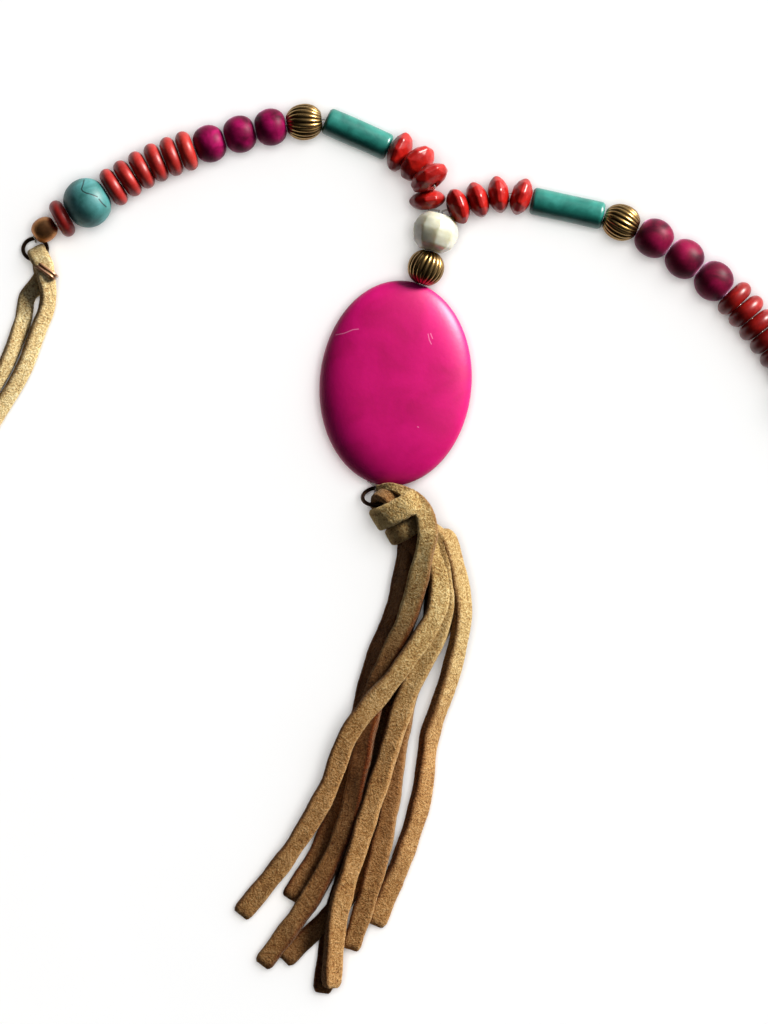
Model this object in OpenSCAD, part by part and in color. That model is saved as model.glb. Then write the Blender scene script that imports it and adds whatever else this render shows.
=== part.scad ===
// A tassel necklace lying on a flat surface, seen from above with the drop towards -Y.
// Two strings of drilled beads meet at a drop of three beads, and a suede tassel hangs from it.
// A doubled suede lace closes the loop behind the neck. Lengths are in millimetres.

/* [Coral beads] */
// Diameter of a flat coral disc
disc_d = 8.1; // [7.4:0.1:8.8]
// Thickness of a flat coral disc along the thread
disc_t = 3.2; // [2.9:0.1:3.5]
// Diameter of a faceted coral rondelle
rondelle_d = 7.5; // [6.8:0.1:8.2]
// Length of a faceted coral rondelle along the thread
rondelle_t = 4.1; // [3.8:0.1:4.6]
// Number of facets round a coral rondelle
rondelle_sides = 10; // [8:1:12]

/* [Magenta beads] */
// Diameter of a magenta bead
magenta_d = 7.8; // [7.2:0.1:8.6]
// Length of a magenta bead along the thread
magenta_len = 6.8; // [6.2:0.1:7.4]

/* [Turquoise beads] */
// Diameter of the round turquoise bead
turquoise_d = 10; // [9:0.1:11]
// Length of the round turquoise bead along the thread
turquoise_len = 9; // [8.4:0.1:9.6]
// Diameter of the turquoise tube
tube_d = 5.5; // [5:0.1:6]
// Length of the turquoise tube
tube_len = 15; // [13:0.1:17]
// Radius of the tube's rounded ends
tube_edge = 0.8; // [0.4:0.1:1.2]

/* [Metal beads] */
// Diameter of a ridged bead over its ridges
gold_d = 7.3; // [6.8:0.1:8]
// Length of a ridged bead along the thread
gold_len = 7.1; // [6.6:0.1:7.6]
// Number of ridges round a ridged bead
gold_ridges = 20; // [14:1:24]
// Depth of the grooves between the ridges
groove_depth = 0.22; // [0.1:0.02:0.3]
// Diameter of the smooth bead at each end of the strings
end_bead_d = 5; // [4.6:0.1:5.4]

/* [Drop] */
// Diameter of the faceted white bead
white_d = 9.4; // [8.8:0.1:10]
// Length of the faceted white bead along the thread
white_len = 7.6; // [7:0.1:8.2]
// Number of facets round the white bead
white_sides = 12; // [8:1:16]
// Length of the drop's ridged bead along the thread
drop_gold_len = 6.7; // [6.2:0.1:7.2]
// Width of the oval pendant
pendant_w = 30.4; // [26:0.2:34]
// Height of the oval pendant
pendant_h = 41.2; // [36:0.2:46]
// Thickness of the oval pendant
pendant_t = 7; // [6:0.1:8]
// Turn of the oval from the line of its hole, in degrees
pendant_turn = 9; // [0:1:12]

/* [Holes and thread] */
// Diameter of the hole through every bead
hole_d = 1.6; // [1.5:0.05:1.8]
// Diameter of the nylon thread
thread_d = 0.4; // [0.3:0.05:0.5]
// Gap from one bead to the next along the thread
bead_gap = 0.15; // [0.1:0.05:0.25]

/* [Wire rings] */
// Diameter of the ring at each end of the bead strings, outside
end_ring_d = 5.6; // [5.4:0.1:6]
// Diameter of the ring that carries the tassel, outside
tassel_ring_d = 6.6; // [6.2:0.1:7]
// Diameter of the wire that the rings are bent from
wire_d = 0.8; // [0.7:0.05:0.9]

/* [Suede lace] */
// Width of the lace
lace_w = 3.4; // [3:0.1:3.8]
// Thickness of the lace
lace_t = 1.8; // [1.4:0.1:2]
// Distance between the middles of the two laces where they lie side by side
lace_pitch = 3.9; // [3.9:0.1:4.4]
// Distance from the wire of an end ring to the lace folded over it
fold_clear = 0.35; // [0.3:0.05:0.45]
// Thickness of the metal of a crimp
crimp_t = 0.4; // [0.3:0.05:0.5]
// Width of a crimp along the lace
crimp_w = 1; // [0.8:0.1:1.4]

/* [Tassel] */
// Length of the tassel from the top of its head to the longest strand's end
tassel_len = 100; // [90:1:110]
// Width of one suede strand
strand_w = 4; // [3.4:0.1:4.4]
// Thickness of one suede strand
strand_t = 2.1; // [1.8:0.1:2.4]
// Distance from the top of the head to where the strands leave it
head_len = 8; // [7:0.5:10]
// Distance from the wire of the ring to the suede looped over it
loop_clear = 0.75; // [0.7:0.05:0.9]

/* [Hidden] */
clear = 0.15;
fine = 48;
arc_steps = 7;

// Beads of one string, counted from the drop to the lace.
// Columns: kind, how many, share of the kind's length, share of its width, extra thread after.
LEFT_GROUPS = [
    ["coral_rondelle", 1, 0.92, 1, 4.65],
    ["coral_rondelle", 1, 0.95, 1, 0.63],
    ["coral_rondelle", 1, 0.98, 1, 0.47],
    ["coral_rondelle", 1, 0.98, 1, 0.2],
    ["turquoise_tube", 1, 0.92, 1, 0.7],
    ["gold_bead", 1, 1, 1, 0],
    ["magenta_bead", 3, 0.91, 0.96, 0],
    ["coral_disc", 6, 0.96, 1, 0.06],
    ["turquoise_round", 1, 0.97, 1, 0],
    ["coral_disc", 1, 0.9, 0.98, 1.05],
    ["end_bead", 1, 0.96, 1, 0]
];
RIGHT_GROUPS = [
    ["coral_rondelle", 1, 0.98, 1, 0.05],
    ["coral_rondelle", 1, 0.98, 1, 0.2],
    ["coral_rondelle", 1, 0.98, 1, 0.55],
    ["coral_rondelle", 1, 0.98, 1, 0.1],
    ["turquoise_tube", 1, 0.98, 1, 0.1],
    ["gold_bead", 1, 1, 1, 0.15],
    ["magenta_bead", 3, 1.05, 1.02, 0.05],
    ["coral_disc", 6, 1.03, 1, 0.03],
    ["turquoise_round", 1, 1, 1, 0],
    ["coral_disc", 1, 0.95, 0.98, 1],
    ["end_bead", 1, 1, 1, 0]
];

// Route of each bead string from the drop outwards: x, y and the lift of a bead off the surface.
LEFT_ROUTE = [
    [-2.1, 68.55, 0.1], [-2.55, 72.3, 0.1], [-1, 73, 4.6], [-3, 76.2, 3.5], [-3.1, 76.3, 2.75],
    [-5.6, 78.9, 1], [-6.05, 79.15, 0.7], [-9.65, 80.75, 0], [-22.7, 86.5, 0],
    [-26.6, 86.2, 0], [-33.3, 85.2, 0], [-39.4, 83.8, 0], [-45.5, 81.9, 0],
    [-50.2, 80.3, 0], [-53.3, 79.2, 0], [-56.4, 78, 0], [-59.5, 76.5, 0],
    [-62.3, 74.8, 0], [-65, 73, 0], [-70.4, 69.8, 0], [-75.4, 66.5, 0],
    [-76.8, 65.9, 0.1], [-77.1, 65.7, 1.3], [-79, 64.9, 1.1], [-80.9, 63.2, 0.9], [-81, 52, 0.9]
];
RIGHT_ROUTE = [
    [1.9, 68.5, 1.2], [3.8, 69.1, 0.8], [7.8, 70.5, 0.2], [11.8, 71.9, 0],
    [15.8, 71.6, 0], [18.1, 70.5, 0], [33, 67.2, 0], [36.6, 66.3, 0],
    [42.9, 63.2, 0], [48.9, 58.7, 0], [54.9, 54.5, 0], [58.9, 51, 0],
    [61.3, 48.3, 0], [63.5, 45.6, 0], [65.7, 42.7, 0], [67.8, 39.9, 0],
    [69.7, 37, 0], [72.9, 31.4, 0], [75.7, 26, 0], [76.2, 24.6, 0.1],
    [76.4, 24.3, 1.3], [77.6, 21.8, 1.1], [79.4, 17, 0.9], [82.4, 8, 0.9]
];
// Where the drop's line starts above the white bead, and its lean from -Y in degrees
DROP_TOP = [0.2, 67.6];
DROP_LEAN = 14.7;
// Beads of the drop. Columns: name, length, width, lift off the surface.
DROP = [
    ["white_rondelle", white_len, white_d, 0],
    ["gold_bead_drop", drop_gold_len, gold_d, 0.3],
    ["oval_pendant", 2 * pendant_reach(), pendant_t, 0]
];

// Middle line between the two laces where they lie side by side, from left to right
LACE_LOOP = [
    [-82, 45], [-85.3, 36.5], [-91.5, 26], [-98, 13], [-104, -5], [-107.5, -26],
    [-108, -49], [-105.5, -72], [-100.5, -95], [-93, -117], [-82.5, -138], [-68, -156.5],
    [-50.5, -172], [-30, -184], [-8, -190.5], [14, -188], [34, -178], [52, -163],
    [67, -144], [78.5, -122], [86, -99], [90.5, -75], [92, -51], [89.5, -28],
    [85.5, -9.5], [82.6, 2.5]
];
// Each lace's own points by the rings, from where it turns over the ring's wire.
// Columns: x and y, level (0 on the surface, 1 and 2 in the crimp, 3 over the wire), share of width.
INNER_TAIL = [[0.5, -2.7, 1, 0.7], [0.25, -1.6, 0.8, 0.65]];
INNER_LEAVING = [
    [0.7, -1.2, 2.3, 0.65], [0.95, -2.2, 2, 0.68], [1.15, -3.8, 2, 0.75], [1.5, -6, 2, 0.9],
    [1.4, -8.7, 1.1, 1], [0.8, -11.2, 0.1, 1]
];
INNER_ARRIVING = [[0, -8.4, 0, 1], [0.3, -5.8, 0.4, 0.9], [0.6, -3.4, 1, 0.7]];
OUTER_LEAVING = [
    [0.3, -3.9, 1, 0.7], [-0.9, -5.4, 0.6, 0.9], [-2.7, -7.6, 0, 1], [-3.3, -10.7, 0, 1]
];
OUTER_ARRIVING = [
    [4.1, -8.7, 0.3, 1], [3.3, -6.7, 1.7, 1], [2.1, -4.9, 2, 0.85], [1, -3.8, 2, 0.72],
    [0.8, -2.2, 2, 0.68], [0.5, -1.2, 2.3, 0.65]
];
OUTER_TAIL = [[0.3, -1.6, 0.8, 0.65], [0.5, -2.9, 1, 0.7]];
// Crimps over the laces, from the same point. Columns: x and y, turn about Z.
CRIMP_PLACES = [[0.78, -3.1, -30], [0.8, -3.1, 12]];
// Turn of the lace's fold from the ring's far side, left and right, and its share of the width
FOLD_TURN = [30, 0];
FOLD_SHARE = 0.55;
CRIMP_CLEAR = 0.2;

// Middle of the tassel's ring from the pendant's lower mouth, as shares of the ring's diameter
RING_PLACE = [0.2203, -0.4436, 0.0152];
TASSEL_RING_TILT = 53;
// The tassel's head starts this far from the middle of its ring, as shares of the same diameter
TOP_PLACE = [0.5455, -0.2576];
END_RING_TILT = 25;
END_RING_AWAY = 0.35;
// Direction in which the suede leaves the tassel's ring, in degrees from +X, and its roll there
HEAD_TURN = -43;
LOOP_ROLL = -27;
// The tassel's head. Columns: depth and side as shares of head_len, then middle height,
// half width and half height as shares of a strand's thickness.
HEAD = [
    [0.17, 0.16, 2.3, 1.4, 1.25],
    [0.3, 0.27, 2.2, 2, 1.75],
    [0.55, 0.5, 2.15, 2.2, 1.8],
    [1.05, 0.8, 2.1, 2.5, 1.85]
];
// Bands wound round the head: depth and side as shares of head_len, middle height,
// half width and half height as shares of a strand's thickness
WRAPS = [
    [0.25, 0.22, 2.2, 2, 1.7],
    [0.58, 0.52, 2.2, 2.35, 1.8]
];
WRAP_STEPS = 12;
// Strands of the tassel, each cut at its own length. Columns: end, as a share of tassel_len;
// side at seven even steps from the head to the end, as shares of tassel_len; height at the
// same steps, as shares of strand_t; turn on its edge at the head, half way and at the end.
STRANDS = [
    [0.822, [0.078, 0.084, 0.01, -0.088, -0.138, -0.212, -0.31],
        [3, 3.4, 3.5, 3, 2.3, 1.5, 0.5], [10, -10, 0]],
    [0.79, [0.024, 0.004, -0.042, -0.07, -0.098, -0.14, -0.21],
        [1.8, 1.6, 1.4, 1.2, 0.8, 0.5, 0.5], [-35, -15, 0]],
    [0.922, [0.062, 0.026, -0.036, -0.066, -0.098, -0.166, -0.266],
        [3.9, 3, 2.5, 2.2, 1.8, 1.6, 0.7], [0, -20, 0]],
    [0.912, [0.034, 0.024, -0.014, -0.036, -0.054, -0.09, -0.224],
        [0.9, 0.6, 0.5, 0.5, 0.5, 0.5, 0.5], [0, 0, 0]],
    [0.966, [0.086, 0.094, 0.026, -0.022, -0.07, -0.114, -0.128],
        [2.9, 2.9, 2.7, 2.6, 2.4, 2.1, 1.5], [-10, -30, -35]],
    [0.89, [0.09, 0.104, 0.036, 0.004, -0.014, -0.046, -0.09],
        [1.9, 1.6, 1.5, 1.4, 1.4, 1.4, 0.8], [-20, -20, -5]],
    [0.842, [0.108, 0.134, 0.112, 0.07, 0.052, 0.012, -0.042],
        [2.6, 2.4, 1.7, 1.2, 0.7, 0.5, 0.5], [45, 45, 5]],
    [0.978, [0.066, 0.076, 0.002, -0.038, -0.082, -0.122, -0.146],
        [1.1, 1, 0.8, 0.6, 0.5, 0.5, 0.5], [0, 0, 0]]
];

// Length and width of each kind of bead
function bead_size(kind) =
    kind == "coral_rondelle" ? [rondelle_t, rondelle_d] :
    kind == "coral_disc" ? [disc_t, disc_d] :
    kind == "magenta_bead" ? [magenta_len, magenta_d] :
    kind == "turquoise_tube" ? [tube_len, tube_d] :
    kind == "turquoise_round" ? [turquoise_len, turquoise_d] :
    kind == "gold_bead" ? [gold_len, gold_d] :
    [end_bead_d, end_bead_d];

// One row for each bead: kind, length, width, place of its near mouth along the route
function strung(groups) =
    let (rows = [for (g = groups, k = [1 : g[1]])
        let (size = bead_size(g[0])) [g[0], size[0] * g[2], size[1] * g[3], g[4]]])
    [for (i = 0, s = 0; i < len(rows); s = s + rows[i][1] + bead_gap + rows[i][3], i = i + 1)
        [rows[i][0], rows[i][1], rows[i][2], s]];
LEFT = strung(LEFT_GROUPS);
RIGHT = strung(RIGHT_GROUPS);

function bead_name(side, beads, i) =
    let (same = [for (j = [0 : len(beads) - 1]) if (beads[j][0] == beads[i][0]) j])
    len(same) == 1 ? str(beads[i][0], "_", side) :
    str(beads[i][0], "_", side, "_", len([for (j = same) if (j <= i) j]));
function bead_names(side, beads) = [for (i = [0 : len(beads) - 1]) bead_name(side, beads, i)];

// Distance run along a line at each of its points
function run_length(line) =
    [for (i = 0, s = 0; i < len(line);
        s = s + (i + 1 < len(line) ? norm(line[i + 1] - line[i]) : 0), i = i + 1) s];
// The point that lies s along a line
function point_at(line, s) =
    let (run = run_length(line))
    [for (k = [0 : 2]) lookup(s, [for (i = [0 : len(line) - 1]) [run[i], line[i][k]]])];
function unit(v) = v / norm(v);
function flat(v) = [v[0], v[1], 0];
function raised(p, z) = [p[0], p[1], p[2] + z];
// Mouths of a strung bead: a bead rests on the surface unless its route lifts it
function mouths(route, bead) =
    [for (s = [bead[3], bead[3] + bead[1]]) raised(point_at(route, s), bead[2] / 2)];

// Line of the drop, from the white bead down to the pendant's foot
DROP_WAY = [-sin(DROP_LEAN), -cos(DROP_LEAN), 0];
DROP_SIDE = [cos(DROP_LEAN), -sin(DROP_LEAN), 0];
function drop_start(i) = i == 0 ? 0 : drop_start(i - 1) + DROP[i - 1][1] + bead_gap;
function drop_mouths(i) =
    let (z = DROP[i][2] / 2 + DROP[i][3], top = [DROP_TOP[0], DROP_TOP[1], z])
    [for (s = [drop_start(i), drop_start(i) + DROP[i][1]]) top + DROP_WAY * s];
TASSEL_RING = drop_mouths(len(DROP) - 1)[1] + RING_PLACE * tassel_ring_d;
// Side and depth on the tassel are counted from here
TASSEL_TOP = [TASSEL_RING[0] + TOP_PLACE[0] * tassel_ring_d,
    TASSEL_RING[1] + TOP_PLACE[1] * tassel_ring_d];
// Half the oval's length along its hole, which leans from its long axis
function pendant_reach() =
    pendant_w * pendant_h / 2
    / sqrt(pow(pendant_h * sin(pendant_turn), 2) + pow(pendant_w * cos(pendant_turn), 2));

// Points between those of a line, on a smooth curve through them
function curve_point(a, b, c, d, t) =
    0.5 * (2 * b + (c - a) * t + (2 * a - 5 * b + 4 * c - d) * t * t
    + (3 * b - a - 3 * c + d) * t * t * t);
function smooth(line, steps) =
    let (last = len(line) - 1)
    concat([for (i = [0 : last - 1], k = [0 : steps - 1])
        curve_point(line[max(i - 1, 0)], line[i], line[i + 1], line[min(i + 2, last)], k / steps)],
        [line[last]]);

// Directions along a line, and the level direction across it, carried over where it stands up
function ways(line) =
    [for (i = [0 : len(line) - 1]) unit(line[min(i + 1, len(line) - 1)] - line[max(i - 1, 0)])];
function square_to(side, way) =
    let (level = cross(way, [0, 0, 1]))
    norm(level) < 0.35 ? unit(side - (side * way) * way) :
    unit(level) * (level * side < 0 ? -1 : 1);
function sides(line, first) =
    let (way = ways(line))
    [for (i = 0, s = square_to(first, way[0]); i < len(line);
        i = i + 1, s = i < len(line) ? square_to(s, way[i]) : s) s];
// Rings of a strip that follows a line: its width and its turn may change from point to point
function strip_rings(line, outline, first, shares, turns) =
    let (way = ways(line), side = sides(line, first))
    [for (i = [0 : len(line) - 1])
        let (up = cross(way[i], side[i]), c = cos(turns[i]), s = sin(turns[i]),
            across = side[i] * c - up * s, over = side[i] * s + up * c)
        [for (o = outline) line[i] + across * (o[0] * shares[i]) + over * o[1]]];
// Outline of a flat strip with its long edges taken off
function strip_outline(w, t, edge) =
    [[w / 2, t / 2 - edge], [w / 2 - edge, t / 2], [edge - w / 2, t / 2], [-w / 2, t / 2 - edge],
    [-w / 2, edge - t / 2], [edge - w / 2, -t / 2], [w / 2 - edge, -t / 2], [w / 2, edge - t / 2]];
function ones(line) = [for (p = line) 1];
function zeros(line) = [for (p = line) 0];

// A closed solid through rings of points, each with as many points as the next
module skin(rings) {
    n = len(rings[0]);
    last = (len(rings) - 1) * n;
    polyhedron(
        points = [for (ring = rings, p = ring) p],
        faces = concat(
            [[for (j = [0 : n - 1]) j]],
            [for (k = [0 : len(rings) - 2], j = [0 : n - 1])
                [k * n + (j + 1) % n, k * n + j, (k + 1) * n + j]],
            [for (k = [0 : len(rings) - 2], j = [0 : n - 1])
                [k * n + (j + 1) % n, (k + 1) * n + j, (k + 1) * n + (j + 1) % n]],
            [[for (j = [n - 1 : -1 : 0]) last + j]]));
}

// Turns a bead built along Z so that its hole runs from mouth to mouth
module between(ends) {
    way = ends[1] - ends[0];
    translate((ends[0] + ends[1]) / 2)
        rotate([0, acos(way[2] / norm(way)), atan2(way[1], way[0])])
            children();
}

// A round bead with its hole: its ends curve in by rx across and rz along the thread
module turned_bead(length, width, rx, rz) {
    quarter = [for (k = [0 : arc_steps]) 90 * k / arc_steps];
    rotate_extrude($fn = fine)
        polygon(concat(
            [[hole_d / 2, -length / 2]],
            [for (a = quarter) [width / 2 - rx + rx * sin(a), rz - length / 2 - rz * cos(a)]],
            [for (a = quarter) [width / 2 - rx + rx * cos(a), length / 2 - rz + rz * sin(a)]],
            [[hole_d / 2, length / 2]]));
}

// A cut bead: rows of facets between rings, each ring half a facet further round
module cut_bead(length, width, sides, rings) {
    difference() {
        skin([for (r = rings)
            [for (j = [0 : sides - 1])
                let (a = 360 * (j + r[2] / 2) / sides)
                [width / 2 * r[1] * cos(a), width / 2 * r[1] * sin(a), length * r[0]]]]);
        cylinder(h = length * 2, d = hole_d, center = true, $fn = fine);
    }
}
// Rings of the cut beads: share of the length, share of the radius, half facets turned
RONDELLE_CUT = [
    [-0.5, 0.36, 0], [-0.32, 0.7, 1], [-0.06, 1, 2], [0.06, 1, 2], [0.32, 0.7, 3], [0.5, 0.36, 4]
];
WHITE_CUT = [
    [-0.5, 0.46, 0], [-0.36, 0.78, 1], [-0.12, 1, 2], [0.12, 1, 2], [0.36, 0.78, 3], [0.5, 0.46, 4]
];

// A ridged bead: the grooves run from hole to hole and fade out at the ends
module ridged_bead(length, width) {
    columns = 2 * gold_ridges;
    difference() {
        skin([for (z = [-0.5, -0.44, -0.33, -0.12, 0.12, 0.33, 0.44, 0.5])
            let (bulge = sqrt(1 - pow(1.84 * z, 2)))
            [for (j = [0 : columns - 1])
                let (a = 360 * j / columns, r = width / 2 * bulge - groove_depth * bulge * (j % 2))
                [r * cos(a), r * sin(a), z * length]]]);
        cylinder(h = length * 2, d = hole_d, center = true, $fn = fine);
    }
}

module strung_bead(kind, length, width) {
    if (kind == "coral_rondelle")
        color("tomato") cut_bead(length, width, rondelle_sides, RONDELLE_CUT);
    else if (kind == "coral_disc")
        color("orangered") turned_bead(length, width, length * 0.55, length / 2);
    else if (kind == "magenta_bead")
        color("mediumvioletred") turned_bead(length, width, width * 0.36, length / 2);
    else if (kind == "turquoise_tube")
        color("mediumturquoise") turned_bead(length, width, tube_edge, tube_edge);
    else if (kind == "turquoise_round")
        color("mediumturquoise") turned_bead(length, width, width * 0.4, length / 2);
    else if (kind == "gold_bead")
        color("darkgoldenrod") ridged_bead(length, width);
    else
        color("goldenrod") turned_bead(length, width, width * 0.33, length / 2);
}

module white_rondelle() {
    color("whitesmoke") cut_bead(white_len, white_d, white_sides, WHITE_CUT);
}

module gold_bead_drop() {
    color("darkgoldenrod") ridged_bead(drop_gold_len, gold_d);
}

// The oval lies flat: its thickness is along X here, and its hole runs along Z
module oval_pendant() {
    // Columns: height as a share of the thickness, outline as a share of the oval
    levels = [
        [-0.5, 0.6], [-0.46, 0.8], [-0.36, 0.925], [-0.2, 0.985], [0, 1],
        [0.2, 0.985], [0.36, 0.925], [0.46, 0.8], [0.5, 0.6]
    ];
    points = 40;
    color("mediumvioletred")
        difference() {
            rotate([-pendant_turn, 0, 0])
                skin([for (level = levels)
                    [for (j = [0 : points - 1])
                        let (a = 360 * j / points)
                        [pendant_t * level[0], pendant_w / 2 * level[1] * cos(a),
                        pendant_h / 2 * level[1] * sin(a)]]]);
            cylinder(h = pendant_h * 1.2, d = hole_d, center = true, $fn = fine);
        }
}

// A ring of round wire, its axis along Z
module wire_ring(outer) {
    color("saddlebrown")
        rotate_extrude($fn = fine)
            translate([(outer - wire_d) / 2, 0])
                circle(d = wire_d, $fn = fine);
}
// Place of an end ring: just past the last bead, with its far side raised
function string_end(route, beads) = mouths(route, beads[len(beads) - 1])[1];
function end_way(route, beads) =
    let (last = beads[len(beads) - 1], s = last[3] + last[1])
    unit(flat(point_at(route, s + 2) - point_at(route, s)));
RING_R = (end_ring_d - wire_d) / 2;
// Bend of the lace over the wire, and the height of the ring that leaves room for it below
FOLD_R = wire_d / 2 + fold_clear + lace_t / 2;
END_RING_Z = max(FOLD_R + lace_t / 2 + 0.05 - RING_R * sin(END_RING_TILT) * cos(FOLD_TURN[0]),
    wire_d / 2 + 0.05 + RING_R * sin(END_RING_TILT));
function end_ring_middle(route, beads) =
    let (way = end_way(route, beads), end = string_end(route, beads))
    [end[0], end[1], END_RING_Z] + way * (END_RING_AWAY + RING_R * cos(END_RING_TILT));
module end_ring(route, beads) {
    way = end_way(route, beads);
    translate(end_ring_middle(route, beads))
        rotate([0, -END_RING_TILT, atan2(way[1], way[0])])
            wire_ring(end_ring_d);
}
module tassel_ring() {
    translate(TASSEL_RING)
        rotate([0, -TASSEL_RING_TILT, -84])
            wire_ring(tassel_ring_d);
}

// A thread's end hooked over the near side of a ring, from one angle about the wire to another
function hook(middle, way, outer, tilt, angles, shift) =
    let (r = (outer - wire_d) / 2, turn = (wire_d + thread_d) / 2 + clear,
        near = middle - way * (r * cos(tilt)) - [0, 0, r * sin(tilt)] + shift)
    [for (a = angles) near + way * (turn * cos(a)) + [0, 0, turn * sin(a)]];
// Points where the thread passes from bead to bead, half way between their mouths
function passes(route, beads) =
    let (ends = [for (bead = beads) mouths(route, bead)])
    concat([ends[0][0]],
        [for (i = [1 : len(ends) - 1], p = gap_points(ends[i - 1], ends[i])) p],
        [ends[len(ends) - 1][1]]);
// A short gap is passed at its middle, a long one from mouth to mouth, clear of both faces
function gap_points(one, next) =
    let (out = unit(next[0] - next[1]) * thread_d, on = unit(one[1] - one[0]) * thread_d * 1.9)
    norm(next[0] - one[1]) < 5 * thread_d ? [(one[1] + next[0]) / 2] :
    [one[1], one[1] + on, (one[1] + next[0]) / 2 + out * 2, next[0] + out, next[0]];
function drop_passes(shift) =
    let (ends = [for (i = [0 : len(DROP) - 1]) drop_mouths(i)])
    [for (p = concat([ends[0][0]],
        [for (i = [1 : len(ends) - 1]) (ends[i - 1][1] + ends[i][0]) / 2],
        [ends[len(ends) - 1][1]])) p + DROP_SIDE * shift];
function backwards(line) = [for (i = [len(line) - 1 : -1 : 0]) line[i]];

module thread(route, beads, shift) {
    way = end_way(route, beads);
    first = mouths(route, beads[0])[0];
    last = mouths(route, beads[len(beads) - 1]);
    line = concat(
        backwards(hook(end_ring_middle(route, beads), way, end_ring_d, END_RING_TILT,
            [60, 20, -15], [0, 0, 0])),
        [last[1] + unit(last[1] - last[0]) * thread_d],
        backwards(passes(route, beads)),
        [first + unit(first - mouths(route, beads[0])[1]) * thread_d * 0.3],
        [drop_mouths(0)[0] - DROP_WAY * thread_d * 1.5 + DROP_SIDE * shift],
        drop_passes(shift),
        hook(TASSEL_RING, [0.105, -0.995, 0], tassel_ring_d, TASSEL_RING_TILT,
            [130 : -40 : -110], [shift, 0, 0]));
    outline = [for (a = [0 : 60 : 300]) thread_d / 2 * [cos(a), sin(a)]];
    color("gainsboro") skin(strip_rings(line, outline, [0, 0, 1], ones(line), zeros(line)));
}

// Where the lace turns over an end ring's wire, and the flat way in which it leaves
function fold_way(way, turn) =
    [way[0] * cos(turn) - way[1] * sin(turn), way[0] * sin(turn) + way[1] * cos(turn), 0];
function fold_place(route, beads, turn) =
    let (way = end_way(route, beads))
    end_ring_middle(route, beads) + RING_R * (cos(turn) * (way * cos(END_RING_TILT)
        + [0, 0, sin(END_RING_TILT)]) + sin(turn) * [-way[1], way[0], 0]);
FOLDS = [
    fold_place(LEFT_ROUTE, LEFT, FOLD_TURN[0]), fold_place(RIGHT_ROUTE, RIGHT, FOLD_TURN[1])
];
FOLD_WAYS = [
    fold_way(end_way(LEFT_ROUTE, LEFT), FOLD_TURN[0]),
    fold_way(end_way(RIGHT_ROUTE, RIGHT), FOLD_TURN[1])
];
// Heights of the lace's middle at its levels: on the surface, twice in the crimp, over the wire
CRIMP_LOW = crimp_t + 1.5 * CRIMP_CLEAR + lace_t / 2;
CRIMP_HIGH = CRIMP_LOW + lace_t + CRIMP_CLEAR / 2;
function level_z(fold, level) =
    lookup(level, [[0, lace_t / 2], [1, CRIMP_LOW], [2, CRIMP_HIGH], [3, fold[2] + FOLD_R]]);
function by_fold(i, rows) =
    [for (row = rows)
        [FOLDS[i][0] + row[0], FOLDS[i][1] + row[1], level_z(FOLDS[i], row[2]), row[3]]];
// The bend over the wire, from below to above
function fold_bend(i) =
    [for (a = [-90 : 45 : 90])
        let (p = FOLDS[i] - FOLD_WAYS[i] * (FOLD_R * cos(a)))
        [p[0], p[1], p[2] + FOLD_R * sin(a), FOLD_SHARE]];
// The two laces lie half a pitch to each side of the loop's middle line
function beside(line, away) =
    let (way = ways([for (p = line) [p[0], p[1], 0]]))
    [for (i = [0 : len(line) - 1])
        [line[i][0] - way[i][1] * away, line[i][1] + way[i][0] * away, lace_t / 2, 1]];
function inner_line() =
    concat(by_fold(0, INNER_TAIL), fold_bend(0), by_fold(0, INNER_LEAVING),
        beside(LACE_LOOP, lace_pitch / 2), by_fold(1, INNER_ARRIVING));
function outer_line() =
    concat(by_fold(0, OUTER_LEAVING), beside(LACE_LOOP, -lace_pitch / 2),
        by_fold(1, OUTER_ARRIVING), backwards(fold_bend(1)), by_fold(1, OUTER_TAIL));
module lace(points) {
    line = [for (p = points) [p[0], p[1], p[2]]];
    color("burlywood")
        skin(strip_rings(line, strip_outline(lace_w, lace_t, lace_t / 5), [1, 0, 0],
            [for (p = points) p[3]], zeros(line)));
}

module lace_crimp(i) {
    place = CRIMP_PLACES[i];
    inside = [lace_w + 1.7, crimp_w + 1, 2 * lace_t + 3 * CRIMP_CLEAR];
    color("goldenrod")
        translate([FOLDS[i][0] + place[0], FOLDS[i][1] + place[1], (CRIMP_LOW + CRIMP_HIGH) / 2])
            rotate([0, 0, place[2]])
                difference() {
                    cube([inside[0] + 2 * crimp_t, crimp_w, inside[2] + 2 * crimp_t],
                        center = true);
                    cube(inside, center = true);
                }
}

// A point of the tassel: depth and side in millimetres from its top, and height
function tassel_point(depth, side, z) = [TASSEL_TOP[0] + side, TASSEL_TOP[1] - depth, z];
STRAND_RISE = 0.013;
// A strand's line from the head to its end
function strand_line(row) =
    let (steps = len(row[1]) - 1)
    smooth([for (k = [0 : steps])
        tassel_point(head_len + (row[0] * tassel_len - head_len) * k / steps,
            row[1][k] * tassel_len, row[2][k] * strand_t)], 2);
function strand_turn(row, t) = lookup(t, [[0, row[3][0]], [0.5, row[3][1]], [1, row[3][2]]]);
// Height of a strand's middle where its turned edge just touches the surface
function edge_height(turn) = strand_w / 2 * abs(sin(turn)) + strand_t / 2 * cos(turn);
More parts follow.
